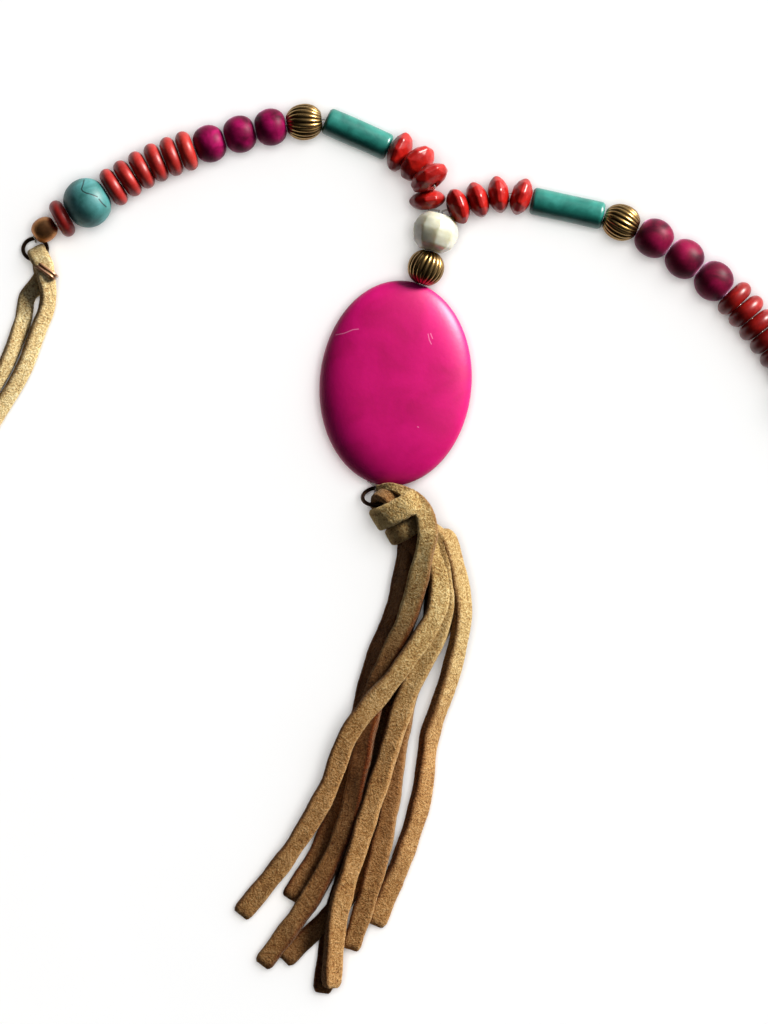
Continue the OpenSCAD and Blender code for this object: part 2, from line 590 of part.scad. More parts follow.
// rise keeps the strands' faces out of one plane, as cut suede is never quite even
module strand(row, rise) {
    line = strand_line(row);
    turns = [for (i = [0 : len(line) - 1]) strand_turn(row, i / (len(line) - 1))];
    lying = [for (i = [0 : len(line) - 1])
        [line[i][0], line[i][1], max(line[i][2], edge_height(turns[i])) + rise]];
    skin(strip_rings(lying, strip_outline(strand_w, strand_t, strand_t / 5), [1, 0, 0],
        ones(line), turns));
}
module head_knob(row) {
    translate(tassel_point(head_len * row[0], head_len * row[1], strand_t * row[2]))
        rotate([0, 0, HEAD_TURN])
            scale([strand_t, strand_t * row[3], strand_t * row[4]])
                sphere(1, $fn = 12);
}
module wrap_slice(row, k) {
    a = 360 * k / WRAP_STEPS;
    translate(tassel_point(head_len * row[0], head_len * row[1], strand_t * row[2]))
        rotate([0, 0, HEAD_TURN])
            translate([0, strand_t * row[3] * cos(a), strand_t * row[4] * sin(a)])
                rotate([a, 0, 0])
                    cube([strand_w * 0.8, strand_t * 0.6, 0.2], center = true);
}
// The suede loop through the ring, round the side of the wire that faces the tassel
module ring_loop() {
    r = (tassel_ring_d - wire_d) / 2;
    turn = wire_d / 2 + loop_clear + strand_t / 2;
    lean = HEAD_TURN + 84;
    middle = TASSEL_RING + r * sin(lean) * [0.995, 0.105, 0]
        + r * cos(lean) * [0.105 * cos(TASSEL_RING_TILT), -0.995 * cos(TASSEL_RING_TILT),
            sin(TASSEL_RING_TILT)];
    angles = [for (a = [50 : 20 : 310]) a];
    for (i = [0 : len(angles) - 2])
        hull()
            for (a = [angles[i], angles[i + 1]])
                translate(middle)
                    rotate([0, 0, HEAD_TURN])
                        rotate([LOOP_ROLL, -a, 0])
                            translate([turn, 0, 0])
                                cube([strand_t, strand_w * 0.4, 0.2], center = true);
}
module tassel() {
    color("tan")
        union() {
            for (i = [0 : len(STRANDS) - 1]) strand(STRANDS[i], i * STRAND_RISE);
            for (i = [0 : len(HEAD) - 2])
                hull() {
                    head_knob(HEAD[i]);
                    head_knob(HEAD[i + 1]);
                }
            for (row = WRAPS, k = [0 : WRAP_STEPS - 1])
                hull() {
                    wrap_slice(row, k);
                    wrap_slice(row, k + 1);
                }
            ring_loop();
        }
}

module bead_on(route, bead) {
    between(mouths(route, bead)) strung_bead(bead[0], bead[1], bead[2]);
}

for (i = [0 : len(LEFT) - 1])
    bead_on(LEFT_ROUTE, LEFT[i]);
for (i = [0 : len(RIGHT) - 1])
    bead_on(RIGHT_ROUTE, RIGHT[i]);
between(drop_mouths(0)) white_rondelle();
between(drop_mouths(1)) gold_bead_drop();
between(drop_mouths(2)) oval_pendant();
tassel_ring();
tassel();
thread(LEFT_ROUTE, LEFT, -0.32);  // thread_left
thread(RIGHT_ROUTE, RIGHT, 0.32);  // thread_right
end_ring(LEFT_ROUTE, LEFT);  // end_ring_left
end_ring(RIGHT_ROUTE, RIGHT);  // end_ring_right
lace_crimp(0);  // lace_crimp_left
lace_crimp(1);  // lace_crimp_right
lace(inner_line());  // lace_inner
lace(outer_line());  // lace_outer
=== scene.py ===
# %% [markdown]
# # A tassel necklace, laid flat
# Two strings of drilled stone beads meet at a drop of three beads, and a suede tassel hangs from a
# small wire ring below it. A suede lace closes the loop behind the neck.
# The script loads the measured parts as a fixed frame and dresses each one: every bead is turned or
# cut again with the soft edges and small faults of real stone, and the suede is laid as strips.
# Lengths in the tables are millimetres, and everything that reaches Blender is in metres.

# %% Frame and units
import math

import bmesh
import bpy
import numpy as np
from mathutils import Matrix, Vector


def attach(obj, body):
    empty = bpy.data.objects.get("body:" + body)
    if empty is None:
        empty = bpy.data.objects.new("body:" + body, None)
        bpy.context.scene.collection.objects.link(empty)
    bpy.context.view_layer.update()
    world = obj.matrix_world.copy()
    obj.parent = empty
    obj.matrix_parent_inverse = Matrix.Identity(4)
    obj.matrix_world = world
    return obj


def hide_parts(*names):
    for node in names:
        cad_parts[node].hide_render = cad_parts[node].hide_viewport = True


MM = 0.001
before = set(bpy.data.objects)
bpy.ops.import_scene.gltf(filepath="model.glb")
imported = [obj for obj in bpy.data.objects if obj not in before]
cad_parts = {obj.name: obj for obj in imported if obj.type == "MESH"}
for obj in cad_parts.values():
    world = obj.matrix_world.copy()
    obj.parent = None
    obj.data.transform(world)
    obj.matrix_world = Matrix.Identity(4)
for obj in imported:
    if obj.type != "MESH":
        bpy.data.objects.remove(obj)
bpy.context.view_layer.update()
print("parts in the frame:", len(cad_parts))

# %% [markdown]
# The photo looks straight down on the necklace from about a metre away. At the height of the beads
# five pixels are one millimetre, so the picture is 153.6 mm wide and 204.8 mm high there.

# %% Camera
VIEW_HEIGHT = 204.8
CAMERA_AWAY = 1000
AIM = (-11, 8, 4)
SENSOR = 24


def new_object(name, data):
    piece = bpy.data.objects.new(name, data)
    bpy.context.scene.collection.objects.link(piece)
    return piece


camera_data = bpy.data.cameras.new("camera")
camera_data.sensor_fit = "VERTICAL"
camera_data.sensor_height = SENSOR
camera_data.lens = SENSOR * CAMERA_AWAY / VIEW_HEIGHT
camera_data.clip_start = 0.05
camera_data.clip_end = 20
camera = new_object("camera", camera_data)
camera.location = (AIM[0] * MM, AIM[1] * MM, (AIM[2] + CAMERA_AWAY) * MM)
bpy.context.scene.camera = camera
print("lens", round(camera_data.lens, 1), "mm")

# %% [markdown]
# The strings are tables: each row is a run of equal beads, with a share of the kind's length and
# width, because real stone beads differ a little. A bead's place is its distance along the route,
# so the beads stay in touch whatever their sizes, as they do on a real thread.

# %% Strings of beads
# kind: length along the thread, width
KINDS = {
    "coral_rondelle": (4.1, 7.5), "coral_disc": (3.2, 8.1), "magenta_bead": (6.8, 7.8),
    "turquoise_tube": (15, 5.5), "turquoise_round": (9, 10), "gold_bead": (7.1, 7.3),
    "end_bead": (5, 5),
}
HOLE = 1.6
THREAD = 0.4
BEAD_GAP = 0.15
# kind, how many, share of length, share of width, extra thread after each
GROUPS = {
    "left": [
        ("coral_rondelle", 1, 0.92, 1, 4.65), ("coral_rondelle", 1, 0.95, 1, 0.63),
        ("coral_rondelle", 1, 0.98, 1, 0.47), ("coral_rondelle", 1, 0.98, 1, 0.2),
        ("turquoise_tube", 1, 0.92, 1, 0.7), ("gold_bead", 1, 1, 1, 0),
        ("magenta_bead", 3, 0.91, 0.96, 0), ("coral_disc", 6, 0.96, 1, 0.06),
        ("turquoise_round", 1, 0.97, 1, 0), ("coral_disc", 1, 0.9, 0.98, 1.05),
        ("end_bead", 1, 0.96, 1, 0)],
    "right": [
        ("coral_rondelle", 1, 0.98, 1, 0.05), ("coral_rondelle", 1, 0.98, 1, 0.2),
        ("coral_rondelle", 1, 0.98, 1, 0.55), ("coral_rondelle", 1, 0.98, 1, 0.1),
        ("turquoise_tube", 1, 0.98, 1, 0.1), ("gold_bead", 1, 1, 1, 0.15),
        ("magenta_bead", 3, 1.05, 1.02, 0.05), ("coral_disc", 6, 1.03, 1, 0.03),
        ("turquoise_round", 1, 1, 1, 0), ("coral_disc", 1, 0.95, 0.98, 1),
        ("end_bead", 1, 1, 1, 0)],
}
# x, y and the lift of a bead off the table, from the drop outwards
ROUTES = {
    "left": [
        (-2.1, 68.55, 0.1), (-2.55, 72.3, 0.1), (-1, 73, 4.6), (-3, 76.2, 3.5), (-3.1, 76.3, 2.75),
        (-5.6, 78.9, 1), (-6.05, 79.15, 0.7), (-9.65, 80.75, 0), (-22.7, 86.5, 0),
        (-26.6, 86.2, 0), (-33.3, 85.2, 0), (-39.4, 83.8, 0), (-45.5, 81.9, 0),
        (-50.2, 80.3, 0), (-53.3, 79.2, 0), (-56.4, 78, 0), (-59.5, 76.5, 0), (-62.3, 74.8, 0),
        (-65, 73, 0), (-70.4, 69.8, 0), (-75.4, 66.5, 0), (-76.8, 65.9, 0.1), (-77.1, 65.7, 1.3),
        (-79, 64.9, 1.1), (-80.9, 63.2, 0.9), (-81, 52, 0.9)],
    "right": [
        (1.9, 68.5, 1.2), (3.8, 69.1, 0.8), (7.8, 70.5, 0.2), (11.8, 71.9, 0), (15.8, 71.6, 0),
        (18.1, 70.5, 0), (33, 67.2, 0), (36.6, 66.3, 0), (42.9, 63.2, 0), (48.9, 58.7, 0),
        (54.9, 54.5, 0), (58.9, 51, 0), (61.3, 48.3, 0), (63.5, 45.6, 0), (65.7, 42.7, 0),
        (67.8, 39.9, 0), (69.7, 37, 0), (72.9, 31.4, 0), (75.7, 26, 0), (76.2, 24.6, 0.1),
        (76.4, 24.3, 1.3), (77.6, 21.8, 1.1), (79.4, 17, 0.9), (82.4, 8, 0.9)],
}
ROUTES = {side: np.array(route, float) for side, route in ROUTES.items()}


def unit(v):
    v = np.asarray(v, float)
    return v / np.linalg.norm(v)


def run_along(line):
    """Distance from the start to each point of a line."""
    steps = np.linalg.norm(np.diff(np.asarray(line, float)[:, :3], axis=0), axis=1)
    return np.concatenate([[0], np.cumsum(steps)])


def point_at(line, s):
    run = run_along(line)
    return np.array([np.interp(s, run, line[:, k]) for k in range(line.shape[1])])


def string_beads(side):
    """Every bead of one string: its node's name, kind, length, width and its two mouths."""
    rows, start = [], 0
    for kind, count, long_share, wide_share, slack in GROUPS[side]:
        for _ in range(count):
            length, width = KINDS[kind][0] * long_share, KINDS[kind][1] * wide_share
            ends = [point_at(ROUTES[side], s) + (0, 0, width / 2) for s in (start, start + length)]
            rows.append({"kind": kind, "length": length, "width": width, "ends": ends,
                         "start": start})
            start += length + BEAD_GAP + slack
    for row in rows:
        same = [r for r in rows if r["kind"] == row["kind"]]
        number = "" if len(same) == 1 else f"_{[r is row for r in same].index(True) + 1}"
        row["node"] = f"{row['kind']}_{side}{number}"
    return rows


def beads_of(kinds):
    """The beads of these kinds on both strings, each from the drop outwards."""
    return [row for side in BEADS for row in BEADS[side] if row["kind"] in kinds]


BEADS = {side: string_beads(side) for side in GROUPS}
DROP_TOP = np.array([0.2, 67.6])
DROP_LEAN = math.radians(14.7)
DROP_WAY = np.array([-math.sin(DROP_LEAN), -math.cos(DROP_LEAN), 0])
DROP_SIDE = np.array([math.cos(DROP_LEAN), -math.sin(DROP_LEAN), 0])
PENDANT = {"w": 30.4, "h": 41.2, "t": 7, "turn": math.radians(9)}
PENDANT_REACH = PENDANT["w"] * PENDANT["h"] / 2 / math.hypot(
    PENDANT["h"] * math.sin(PENDANT["turn"]), PENDANT["w"] * math.cos(PENDANT["turn"]))
DROP, start = [], 0
for node, length, width, lift in [
        ("white_rondelle", 7.6, 9.4, 0), ("gold_bead_drop", 6.7, 7.3, 0.3),
        ("oval_pendant", 2 * PENDANT_REACH, PENDANT["t"], 0)]:
    top = np.array([DROP_TOP[0], DROP_TOP[1], width / 2 + lift])
    DROP.append({"node": node, "length": length, "width": width,
                 "ends": [top + DROP_WAY * start, top + DROP_WAY * (start + length)]})
    start += length + BEAD_GAP
print("beads:", {side: len(rows) for side, rows in BEADS.items()}, "and a drop of", len(DROP))

# %% [markdown]
# A lace of flat suede is looped through the wire ring at each end of the beads. The path of each of
# its runs is worked out from the ring, so the fold always sits round the wire.

# %% Where the rings and the laces lie
WIRE = 0.8
END_RING = 5.6
TASSEL_RING_D = 6.6
END_RING_TILT = math.radians(25)
TASSEL_RING_TILT = math.radians(53)
LACE_W, LACE_T, LACE_PITCH = 3.4, 1.8, 3.55
# Room between a ring and its bead, a fold and its wire, anything and the table
RING_PLAY, FOLD_PLAY, OFF_TABLE = 0.35, 0.35, 0.05
CRIMP_T, CRIMP_PLAY = 0.4, 0.3
FOLD_R = WIRE / 2 + FOLD_PLAY + LACE_T / 2
FOLD_TURN = {"left": math.radians(30), "right": 0.0}
RING_R = (END_RING - WIRE) / 2
END_RING_Z = max(FOLD_R + LACE_T / 2 + OFF_TABLE
                 - RING_R * math.sin(END_RING_TILT) * math.cos(FOLD_TURN["left"]),
                 WIRE / 2 + OFF_TABLE + RING_R * math.sin(END_RING_TILT))
CRIMP_LOW = CRIMP_T + CRIMP_PLAY + LACE_T / 2
CRIMP_HIGH = CRIMP_LOW + LACE_T + 0.1
# The middle line between the two runs
LACE_LOOP = np.array([
    (-82, 45), (-85.3, 36.5), (-91.5, 26), (-98, 13), (-104, -5), (-107.5, -26), (-108, -49),
    (-105.5, -72), (-100.5, -95), (-93, -117), (-82.5, -138), (-68, -156.5), (-50.5, -172),
    (-30, -184), (-8, -190.5), (14, -188), (34, -178), (52, -163), (67, -144), (78.5, -122),
    (86, -99), (90.5, -75), (92, -51), (89.5, -28), (85.5, -9.5), (82.6, 2.5)], float)
# x and y from the fold, level (0 on the table, 1 and 2 in the crimp, 3 over the wire), width share
INNER_TAIL = [(0.5, -2.7, 1, 0.7), (0.25, -1.6, 0.8, 0.65)]
INNER_LEAVING = [(0.7, -1.2, 2.3, 0.65), (0.95, -2.2, 2, 0.68), (1.15, -3.8, 2, 0.75),
                 (1.5, -6, 2, 0.9), (1.4, -8.7, 1.1, 1), (0.8, -11.2, 0.1, 1)]
INNER_ARRIVING = [(0, -8.4, 0, 1), (0.3, -5.8, 0.4, 0.9), (0.6, -3.4, 1, 0.7)]
OUTER_LEAVING = [(0.3, -3.9, 1, 0.7), (-0.9, -5.4, 0.6, 0.9), (-2.7, -7.6, 0, 1),
                 (-3.3, -10.7, 0, 1)]
OUTER_ARRIVING = [(4.1, -8.7, 0.3, 1), (3.3, -6.7, 1.7, 1), (2.1, -4.9, 2, 0.85),
                  (1, -3.8, 2, 0.72), (0.8, -2.2, 2, 0.68), (0.5, -1.2, 2.3, 0.65)]
OUTER_TAIL = [(0.3, -1.6, 0.8, 0.65), (0.5, -2.9, 1, 0.7)]
FOLD_SHARE = 0.55


def end_way(side):
    last = BEADS[side][-1]
    s = last["start"] + last["length"]
    step = point_at(ROUTES[side], s + 2) - point_at(ROUTES[side], s)
    return unit((step[0], step[1], 0))


def end_ring_middle(side):
    end, away = BEADS[side][-1]["ends"][1], RING_PLAY + RING_R * math.cos(END_RING_TILT)
    return np.array([end[0], end[1], END_RING_Z]) + end_way(side) * away


def fold(side):
    """The place on the ring's wire where the lace turns over it, and the way it leaves."""
    way, turn = end_way(side), FOLD_TURN[side]
    across = np.array([-way[1], way[0], 0])
    up = np.array([0, 0, 1.0])
    place = end_ring_middle(side) + RING_R * (
        math.cos(turn) * (way * math.cos(END_RING_TILT) + up * math.sin(END_RING_TILT))
        + math.sin(turn) * across)
    return place, way * math.cos(turn) + across * math.sin(turn)


def by_fold(side, rows):
    place = fold(side)[0]
    heights = [LACE_T / 2, CRIMP_LOW, CRIMP_HIGH, place[2] + FOLD_R]
    return [(place[0] + x, place[1] + y, np.interp(level, [0, 1, 2, 3], heights), share)
            for x, y, level, share in rows]


def fold_bend(side):
    place, way = fold(side)
    bend = []
    for a in np.radians([-90, -45, 0, 45, 90]):
        x, y, z = place - way * FOLD_R * math.cos(a) + (0, 0, FOLD_R * math.sin(a))
        bend.append((x, y, z, FOLD_SHARE))
    return bend


def ways_of(line):
    """The way a line runs at each of its points."""
    line = np.asarray(line)[:, :3]
    return np.array([unit(line[min(i + 1, len(line) - 1)] - line[max(i - 1, 0)])
                     for i in range(len(line))])


def beside(line, away):
    """Points at a distance to the left of a flat line."""
    return [(p[0] - w[1] * away, p[1] + w[0] * away, LACE_T / 2, 1)
            for p, w in zip(line, ways_of(line))]


LACES = {
    "inner": (by_fold("left", INNER_TAIL) + fold_bend("left") + by_fold("left", INNER_LEAVING)
              + beside(LACE_LOOP, LACE_PITCH / 2) + by_fold("right", INNER_ARRIVING)),
    "outer": (by_fold("left", OUTER_LEAVING) + beside(LACE_LOOP, -LACE_PITCH / 2)
              + by_fold("right", OUTER_ARRIVING) + fold_bend("right")[::-1]
              + by_fold("right", OUTER_TAIL)),
}
print("laces:", {name: round(run_along(line)[-1], 1) for name, line in LACES.items()}, "mm")

# %% [markdown]
# ## Materials
# Each one is named for what it is. Colours are read as screen values and turned linear by one
# function, and patterns are scaled in millimetres through the object's own coordinates: noise with
# a scale of 1 / 4 has features about 4 mm across. One function adds every node.

# %% Material tools
def lin(code):
    """A screen colour such as C8382E as linear values."""
    values = [int(code[i:i + 2], 16) / 255 for i in (0, 2, 4)]
    return [v / 12.92 if v <= 0.04045 else ((v + 0.055) / 1.055) ** 2.4 for v in values] + [1]


def add(tree, kind, *inputs, out=0, stops=(), **named):
    """Adds a node, fills or links its inputs, and gives back one of its outputs.

    The kind is the node's type without ShaderNode or GeometryNode. After a colon comes its
    operation, or else its data type. Inputs follow in the order in which the node shows them, or
    by name. Names with a capital are inputs, the others are settings, and stops are the places
    and colours of a ramp, or its greys where they are numbers."""
    kind, _, choice = kind.partition(":")
    family = next(f for f in ("GeometryNode", "ShaderNode", "") if hasattr(bpy.types, f + kind))
    node = tree.nodes.new(family + kind)
    if choice:
        setattr(node, "operation" if hasattr(node, "operation") else "data_type", choice)
    for key in [key for key in named if key[0].islower()]:
        setattr(node, key, named.pop(key))
    pairs = list(zip([socket for socket in node.inputs if socket.enabled], inputs))
    pairs += [(node.inputs[key.replace("_", " ")], value) for key, value in named.items()]
    for socket, value in pairs:
        if isinstance(value, bpy.types.NodeSocket):
            tree.links.new(value, socket)
        else:
            screen = socket.type == "RGBA" and isinstance(value, str)
            socket.default_value = lin(value) if screen else value
    if stops:
        marks = node.color_ramp.elements
        while len(marks) < len(stops):
            marks.new(0.5)
        for mark, (place, shade) in zip(marks, stops):
            mark.position = place
            mark.color = lin(shade) if isinstance(shade, str) else (shade, shade, shade, 1)
    given = [socket for socket in node.outputs if socket.enabled]
    return node.outputs[out] if isinstance(out, str) else (given or [node])[out]


def new_material(name):
    """An empty material, its tree, and object coordinates in millimetres."""
    material = bpy.data.materials.new(name)
    material.use_nodes = True
    tree = material.node_tree
    tree.nodes.clear()
    here = add(tree, "TexCoord", out="Object")
    return material, tree, add(tree, "VectorMath:SCALE", here, 1 / MM)


def finish(material, **shader):
    """Ends a material with its shader. Plain values go straight to the shader's inputs."""
    tree = material.node_tree
    add(tree, "OutputMaterial", add(tree, "BsdfPrincipled", **shader))
    return material


def clouds(tree, mm, size, detail, roughness, bend, *stops):
    """Shades in soft clouds about size millimetres across."""
    field = add(tree, "TexNoise", mm, 1 / size, detail, roughness, Distortion=bend)
    return add(tree, "ValToRGB", field, stops=stops)


def grain(tree, mm, size, detail, depth, strength):
    """The normal of a surface with bumps of this size and depth in millimetres."""
    height = add(tree, "TexNoise", mm, 1 / size, detail, 0.55)
    return add(tree, "Bump", Height=height, Strength=strength, Distance=depth * MM)


# %% [markdown]
# Dyed coral is polished stone: a little light goes in, so its shaded side glows dark red. Howlite
# dyed turquoise or magenta keeps its dark veins, and the dye gathers in them.

# %% Stones
def coral_material(name, dark, middle, light, roughness):
    m, t, mm = new_material(name)
    patches = clouds(t, mm, 4, 3, 0.55, 0, (0.3, dark), (0.52, middle), (0.75, light))
    streaks = clouds(t, mm, 0.8, 4, 0.6, 0.8, (0.35, 0.0), (0.62, 1.0))
    colour = add(t, "Mix:RGBA", 0.25, patches, add(t, "Mix:RGBA", streaks, dark, light))
    return finish(m, Base_Color=colour, Normal=grain(t, mm, 0.7, 4, 0.05, 0.5), IOR=1.4,
                  Roughness=roughness, Subsurface_Weight=0.12,
                  Subsurface_Radius=(1.0, 0.15, 0.1), Subsurface_Scale=0.0008)


def hairline(tree, mm, line, width):
    """One along a thin line of points, x and y in millimetres, and nothing elsewhere."""
    flat = add(tree, "VectorMath:MULTIPLY", mm, (1, 1, 0))
    mask = 0.0
    for a, b in zip(line[:-1], line[1:]):
        a, b = Vector((*a, 0)), Vector((*b, 0))
        off = add(tree, "VectorMath:SUBTRACT", flat, a)
        along = add(tree, "VectorMath:DOT_PRODUCT", off, (b - a) / (b - a).length_squared)
        foot = add(tree, "VectorMath:SCALE", b - a, add(tree, "Clamp", along))
        away = add(tree, "VectorMath:DISTANCE", off, foot)
        near = add(tree, "MapRange", away, width, width * 0.3, interpolation_type="SMOOTHSTEP")
        mask = add(tree, "Math:MAXIMUM", mask, near)
    return mask


# Fine scratches and a speck seen on the pendant's face, their width and how much they show
SCRATCHES = [[(-20.6, 43.4), (-18.9, 43.7), (-17.2, 44.4), (-16.1, 44.5)],
             [(-2.2, 43.5), (-1.95, 42.3), (-1.55, 41.5)], [(-1.7, 43.6), (-1.3, 42.6)],
             [(-4.3, 25.0), (-4.1, 24.9)]]
SCRATCH_W, SCRATCH_SHARE = 0.14, 0.28


def magenta_material(name, dark, middle, light, roughness, ior, veins, size, sheen=0,
                     scratches=()):
    m, t, mm = new_material(name)
    colour = clouds(t, mm, size, 4, 0.55, 0.5, (0.32, dark), (0.5, middle), (0.7, light))
    bent = add(t, "VectorMath:ADD", mm, add(t, "TexNoise", mm, 0.6, 3, out="Color"))
    edges = add(t, "TexVoronoi", bent, Scale=0.22, feature="DISTANCE_TO_EDGE", out="Distance")
    thin = add(t, "ValToRGB", edges, stops=[(0.0, 1.0), (0.02, 0.0)])
    colour = add(t, "Mix:RGBA", add(t, "Math:MULTIPLY", thin, veins), colour, "2A0010")
    for line in scratches:
        mark = add(t, "Math:MULTIPLY", hairline(t, mm, line, SCRATCH_W), SCRATCH_SHARE)
        colour = add(t, "Mix:RGBA", mark, colour, "FFB8DC")
    return finish(m, Base_Color=colour, Normal=grain(t, mm, 1.0, 4, 0.04, 0.5), IOR=ior,
                  Roughness=roughness, Subsurface_Weight=0.08,
                  Subsurface_Radius=(1.0, 0.2, 0.5), Subsurface_Scale=0.001,
                  Sheen_Weight=sheen, Sheen_Roughness=0.3, Sheen_Tint="FFB4E4")


def turquoise_material(name, dark, middle, light, veins, roughness, ior):
    m, t, mm = new_material(name)
    cloud = clouds(t, mm, 3.5, 4, 0.55, 0.5, (0.3, dark), (0.52, middle), (0.75, light))
    crack = add(t, "Attribute", attribute_name="crack", out="Fac")
    fleck = clouds(t, mm, 0.35, 3, 0.7, 0, (0.66, 0.0), (0.74, 1.0))
    cracked = add(t, "Mix:RGBA", crack, cloud, "0C1A18")
    colour = add(t, "Mix:RGBA", add(t, "Math:MULTIPLY", fleck, veins), cracked, "1E4A42")
    pits = add(t, "Math:SUBTRACT", add(t, "TexNoise", mm, 1 / 0.8, 4, 0.55), crack)
    return finish(m, Base_Color=colour, Roughness=roughness, IOR=ior,
                  Normal=add(t, "Bump", Height=pits, Strength=0.5, Distance=0.06 * MM))


def milky_material():
    m, t, mm = new_material("milky_stone")
    cloud = clouds(t, mm, 3, 3, 0.55, 0, (0.3, "A6A692"), (0.55, "BEBEAC"), (0.8, "CED0C4"))
    return finish(m, Base_Color=cloud, Normal=grain(t, mm, 2, 2, 0.02, 0.3), Roughness=0.18,
                  IOR=1.54, Subsurface_Weight=0.85, Subsurface_Radius=(1.0, 0.75, 0.45),
                  Subsurface_Scale=0.005, Coat_Weight=0.4, Coat_Roughness=0.06)


CORAL = coral_material("dyed_coral", "7A120E", "981E18", "AE3028", 0.4)
CORAL_RED = coral_material("red_coral", "720806", "900F0A", "AE1E16", 0.32)
DARK_CORAL = coral_material("dark_red_coral", "560504", "720907", "961811", 0.36)
MAGENTA = magenta_material(
    "magenta_howlite", "3C021A", "6A0334", "8C094A", 0.46, 1.18, 0.3, 4, 0.35)
DARK_MAGENTA = magenta_material(
    "dark_magenta_howlite", "340114", "600225", "82083A", 0.48, 1.22, 0.2, 5, 0.7)
PENDANT_STONE = magenta_material(
    "magenta_pendant_stone", "AA0055", "B80060", "C20468", 0.42, 1.44, 0, 9, scratches=SCRATCHES)
TURQUOISE = turquoise_material(
    "turquoise_howlite", "245B57", "387270", "4C8C8E", 0.5, 0.48, 1.42)
TUBE_STONE = turquoise_material(
    "turquoise_tube_stone", "10524A", "1A665B", "2A7B70", 0.15, 0.32, 1.55)
MILKY = milky_material()

# %% [markdown]
# The metal is antiqued: a dark patina is left in every groove and rubbed off the ridges. Each
# metal bead carries how high a point stands as an attribute, and the patina follows that.

# %% Metals, nylon and suede
def worn_metal(name, low, high, roughness_low, roughness_high):
    m, t, mm = new_material(name)
    ridge = add(t, "Attribute", attribute_name="ridge", out="Fac")
    wear = add(t, "Math:MULTIPLY_ADD", add(t, "TexNoise", mm, 1 / 0.8, 4, 0.65), 0.9, -0.3,
               use_clamp=True)
    bright = add(t, "Math:MULTIPLY", ridge, add(t, "Math:ADD", wear, 0.55), use_clamp=True)
    rough = add(t, "MapRange", bright, To_Min=roughness_low, To_Max=roughness_high)
    return finish(m, Base_Color=add(t, "Mix:RGBA", bright, low, high), Metallic=1,
                  Roughness=rough, Normal=grain(t, mm, 0.3, 4, 0.02, 0.6))


ANTIQUE_GOLD = worn_metal("antique_gold", "241808", "BC965C", 0.4, 0.2)
SMALL_GOLD = worn_metal("small_gold", "80502C", "D89A62", 0.5, 0.38)
BRONZE_WIRE = worn_metal("bronze_wire", "20150C", "5A4230", 0.5, 0.32)
COPPER_CRIMP = worn_metal("copper_crimp", "4A2416", "F0B890", 0.4, 0.2)


def nylon_material():
    m, t, mm = new_material("clear_nylon")
    haze = add(t, "TexNoise", mm, 1 / 2, 3, 0.55)
    return finish(m, Base_Color=add(t, "Mix:RGBA", haze, "F4F2EC", "E2DED2"), Roughness=0.08,
                  IOR=1.5, Transmission_Weight=0.85)


def suede_material(name, shade, middle, light, bottom_browning):
    """Suede is cut fibre: lit from the side each tuft has a bright and a dark flank.

    The hide turns browner towards the bottom, where the loose ends lie. Shade is painted into the
    colour: an attribute that each strip carries darkens the hide where strips lie under others, in
    the knot and round the wire."""
    m, t, mm = new_material(name)
    tufts = add(t, "TexNoise", mm, 1 / 0.42, 4, 0.7)
    clumps = add(t, "TexNoise", mm, 1 / 1.1, 4, 0.6)
    patches = add(t, "TexNoise", mm, 1 / 6, 3, 0.6)
    both = add(t, "Math:MULTIPLY_ADD", clumps, 0.2, add(t, "Math:MULTIPLY", tufts, 0.6))
    hide = add(t, "ValToRGB", add(t, "Math:MULTIPLY_ADD", patches, 0.2, both),
               stops=[(0.38, shade), (0.49, middle), (0.61, light)])
    # The hide turns browner from y = -12 mm down to y = -45 mm, by the share given.
    towards_bottom = add(t, "MapRange", add(t, "SeparateXYZ", mm, out="Y"), -12, -45,
               interpolation_type="SMOOTHSTEP")
    browner = add(t, "Mix:RGBA", add(t, "Math:MULTIPLY", towards_bottom, bottom_browning), hide, "E0A070",
                  blend_type="MULTIPLY")
    # Painted shade: this attribute darkens the hide towards 8A5424 where strips lie in shade.
    soil = add(t, "Attribute", attribute_name="soil", out="Fac")
    fine = add(t, "Bump", Height=tufts, Strength=1, Distance=0.6 * MM)
    return finish(m, Base_Color=add(t, "Mix:RGBA", soil, browner, "8A5424", blend_type="MULTIPLY"),
                  Normal=add(t, "Bump", Height=clumps, Strength=0.6, Distance=0.35 * MM,
                             Normal=fine),
                  Roughness=0.9, Specular_IOR_Level=0.1, Sheen_Weight=0.3, Sheen_Roughness=0.4,
                  Sheen_Tint="F4E4B8")


NYLON = nylon_material()
SUEDE = suede_material("tan_suede", "7C5228", "B09058", "D8C08A", 0.5)
LACE_SUEDE = suede_material("lace_suede", "A0784A", "D2B67E", "EEDEAE", 0)
print("materials:", len(bpy.data.materials))

# %% [markdown]
# ## Turning and cutting beads
# A round bead is turned on a lathe: one outline swept round the hole. The outline runs up the hole,
# over the outside and back, so the skin closes on itself and has no poles.

# %% Bead tools
def carry(mesh, **values):
    """Gives a mesh's points their attributes, a number or a vector for each."""
    for key, numbers in values.items():
        numbers = np.asarray(numbers, "f")
        kind, field = ("FLOAT", "value") if numbers.ndim == 1 else ("FLOAT_VECTOR", "vector")
        mesh.attributes.new(key, kind, "POINT").data.foreach_set(field, numbers.ravel())


def mesh_object(name, points, faces, material, **values):
    """An object at the origin from points in millimetres, with optional values per point."""
    mesh = bpy.data.meshes.new(name)
    mesh.from_pydata((np.asarray(points) * MM).tolist(), [], faces)
    mesh.validate()
    carry(mesh, **values)
    mesh.polygons.foreach_set("use_smooth", [True] * len(mesh.polygons))
    mesh.materials.append(material)
    face_outward(mesh)
    return new_object(name, mesh)


def face_outward(mesh):
    work = bmesh.new()
    work.from_mesh(mesh)
    bmesh.ops.recalc_face_normals(work, faces=work.faces)
    work.to_mesh(mesh)
    work.free()
    mesh.update()


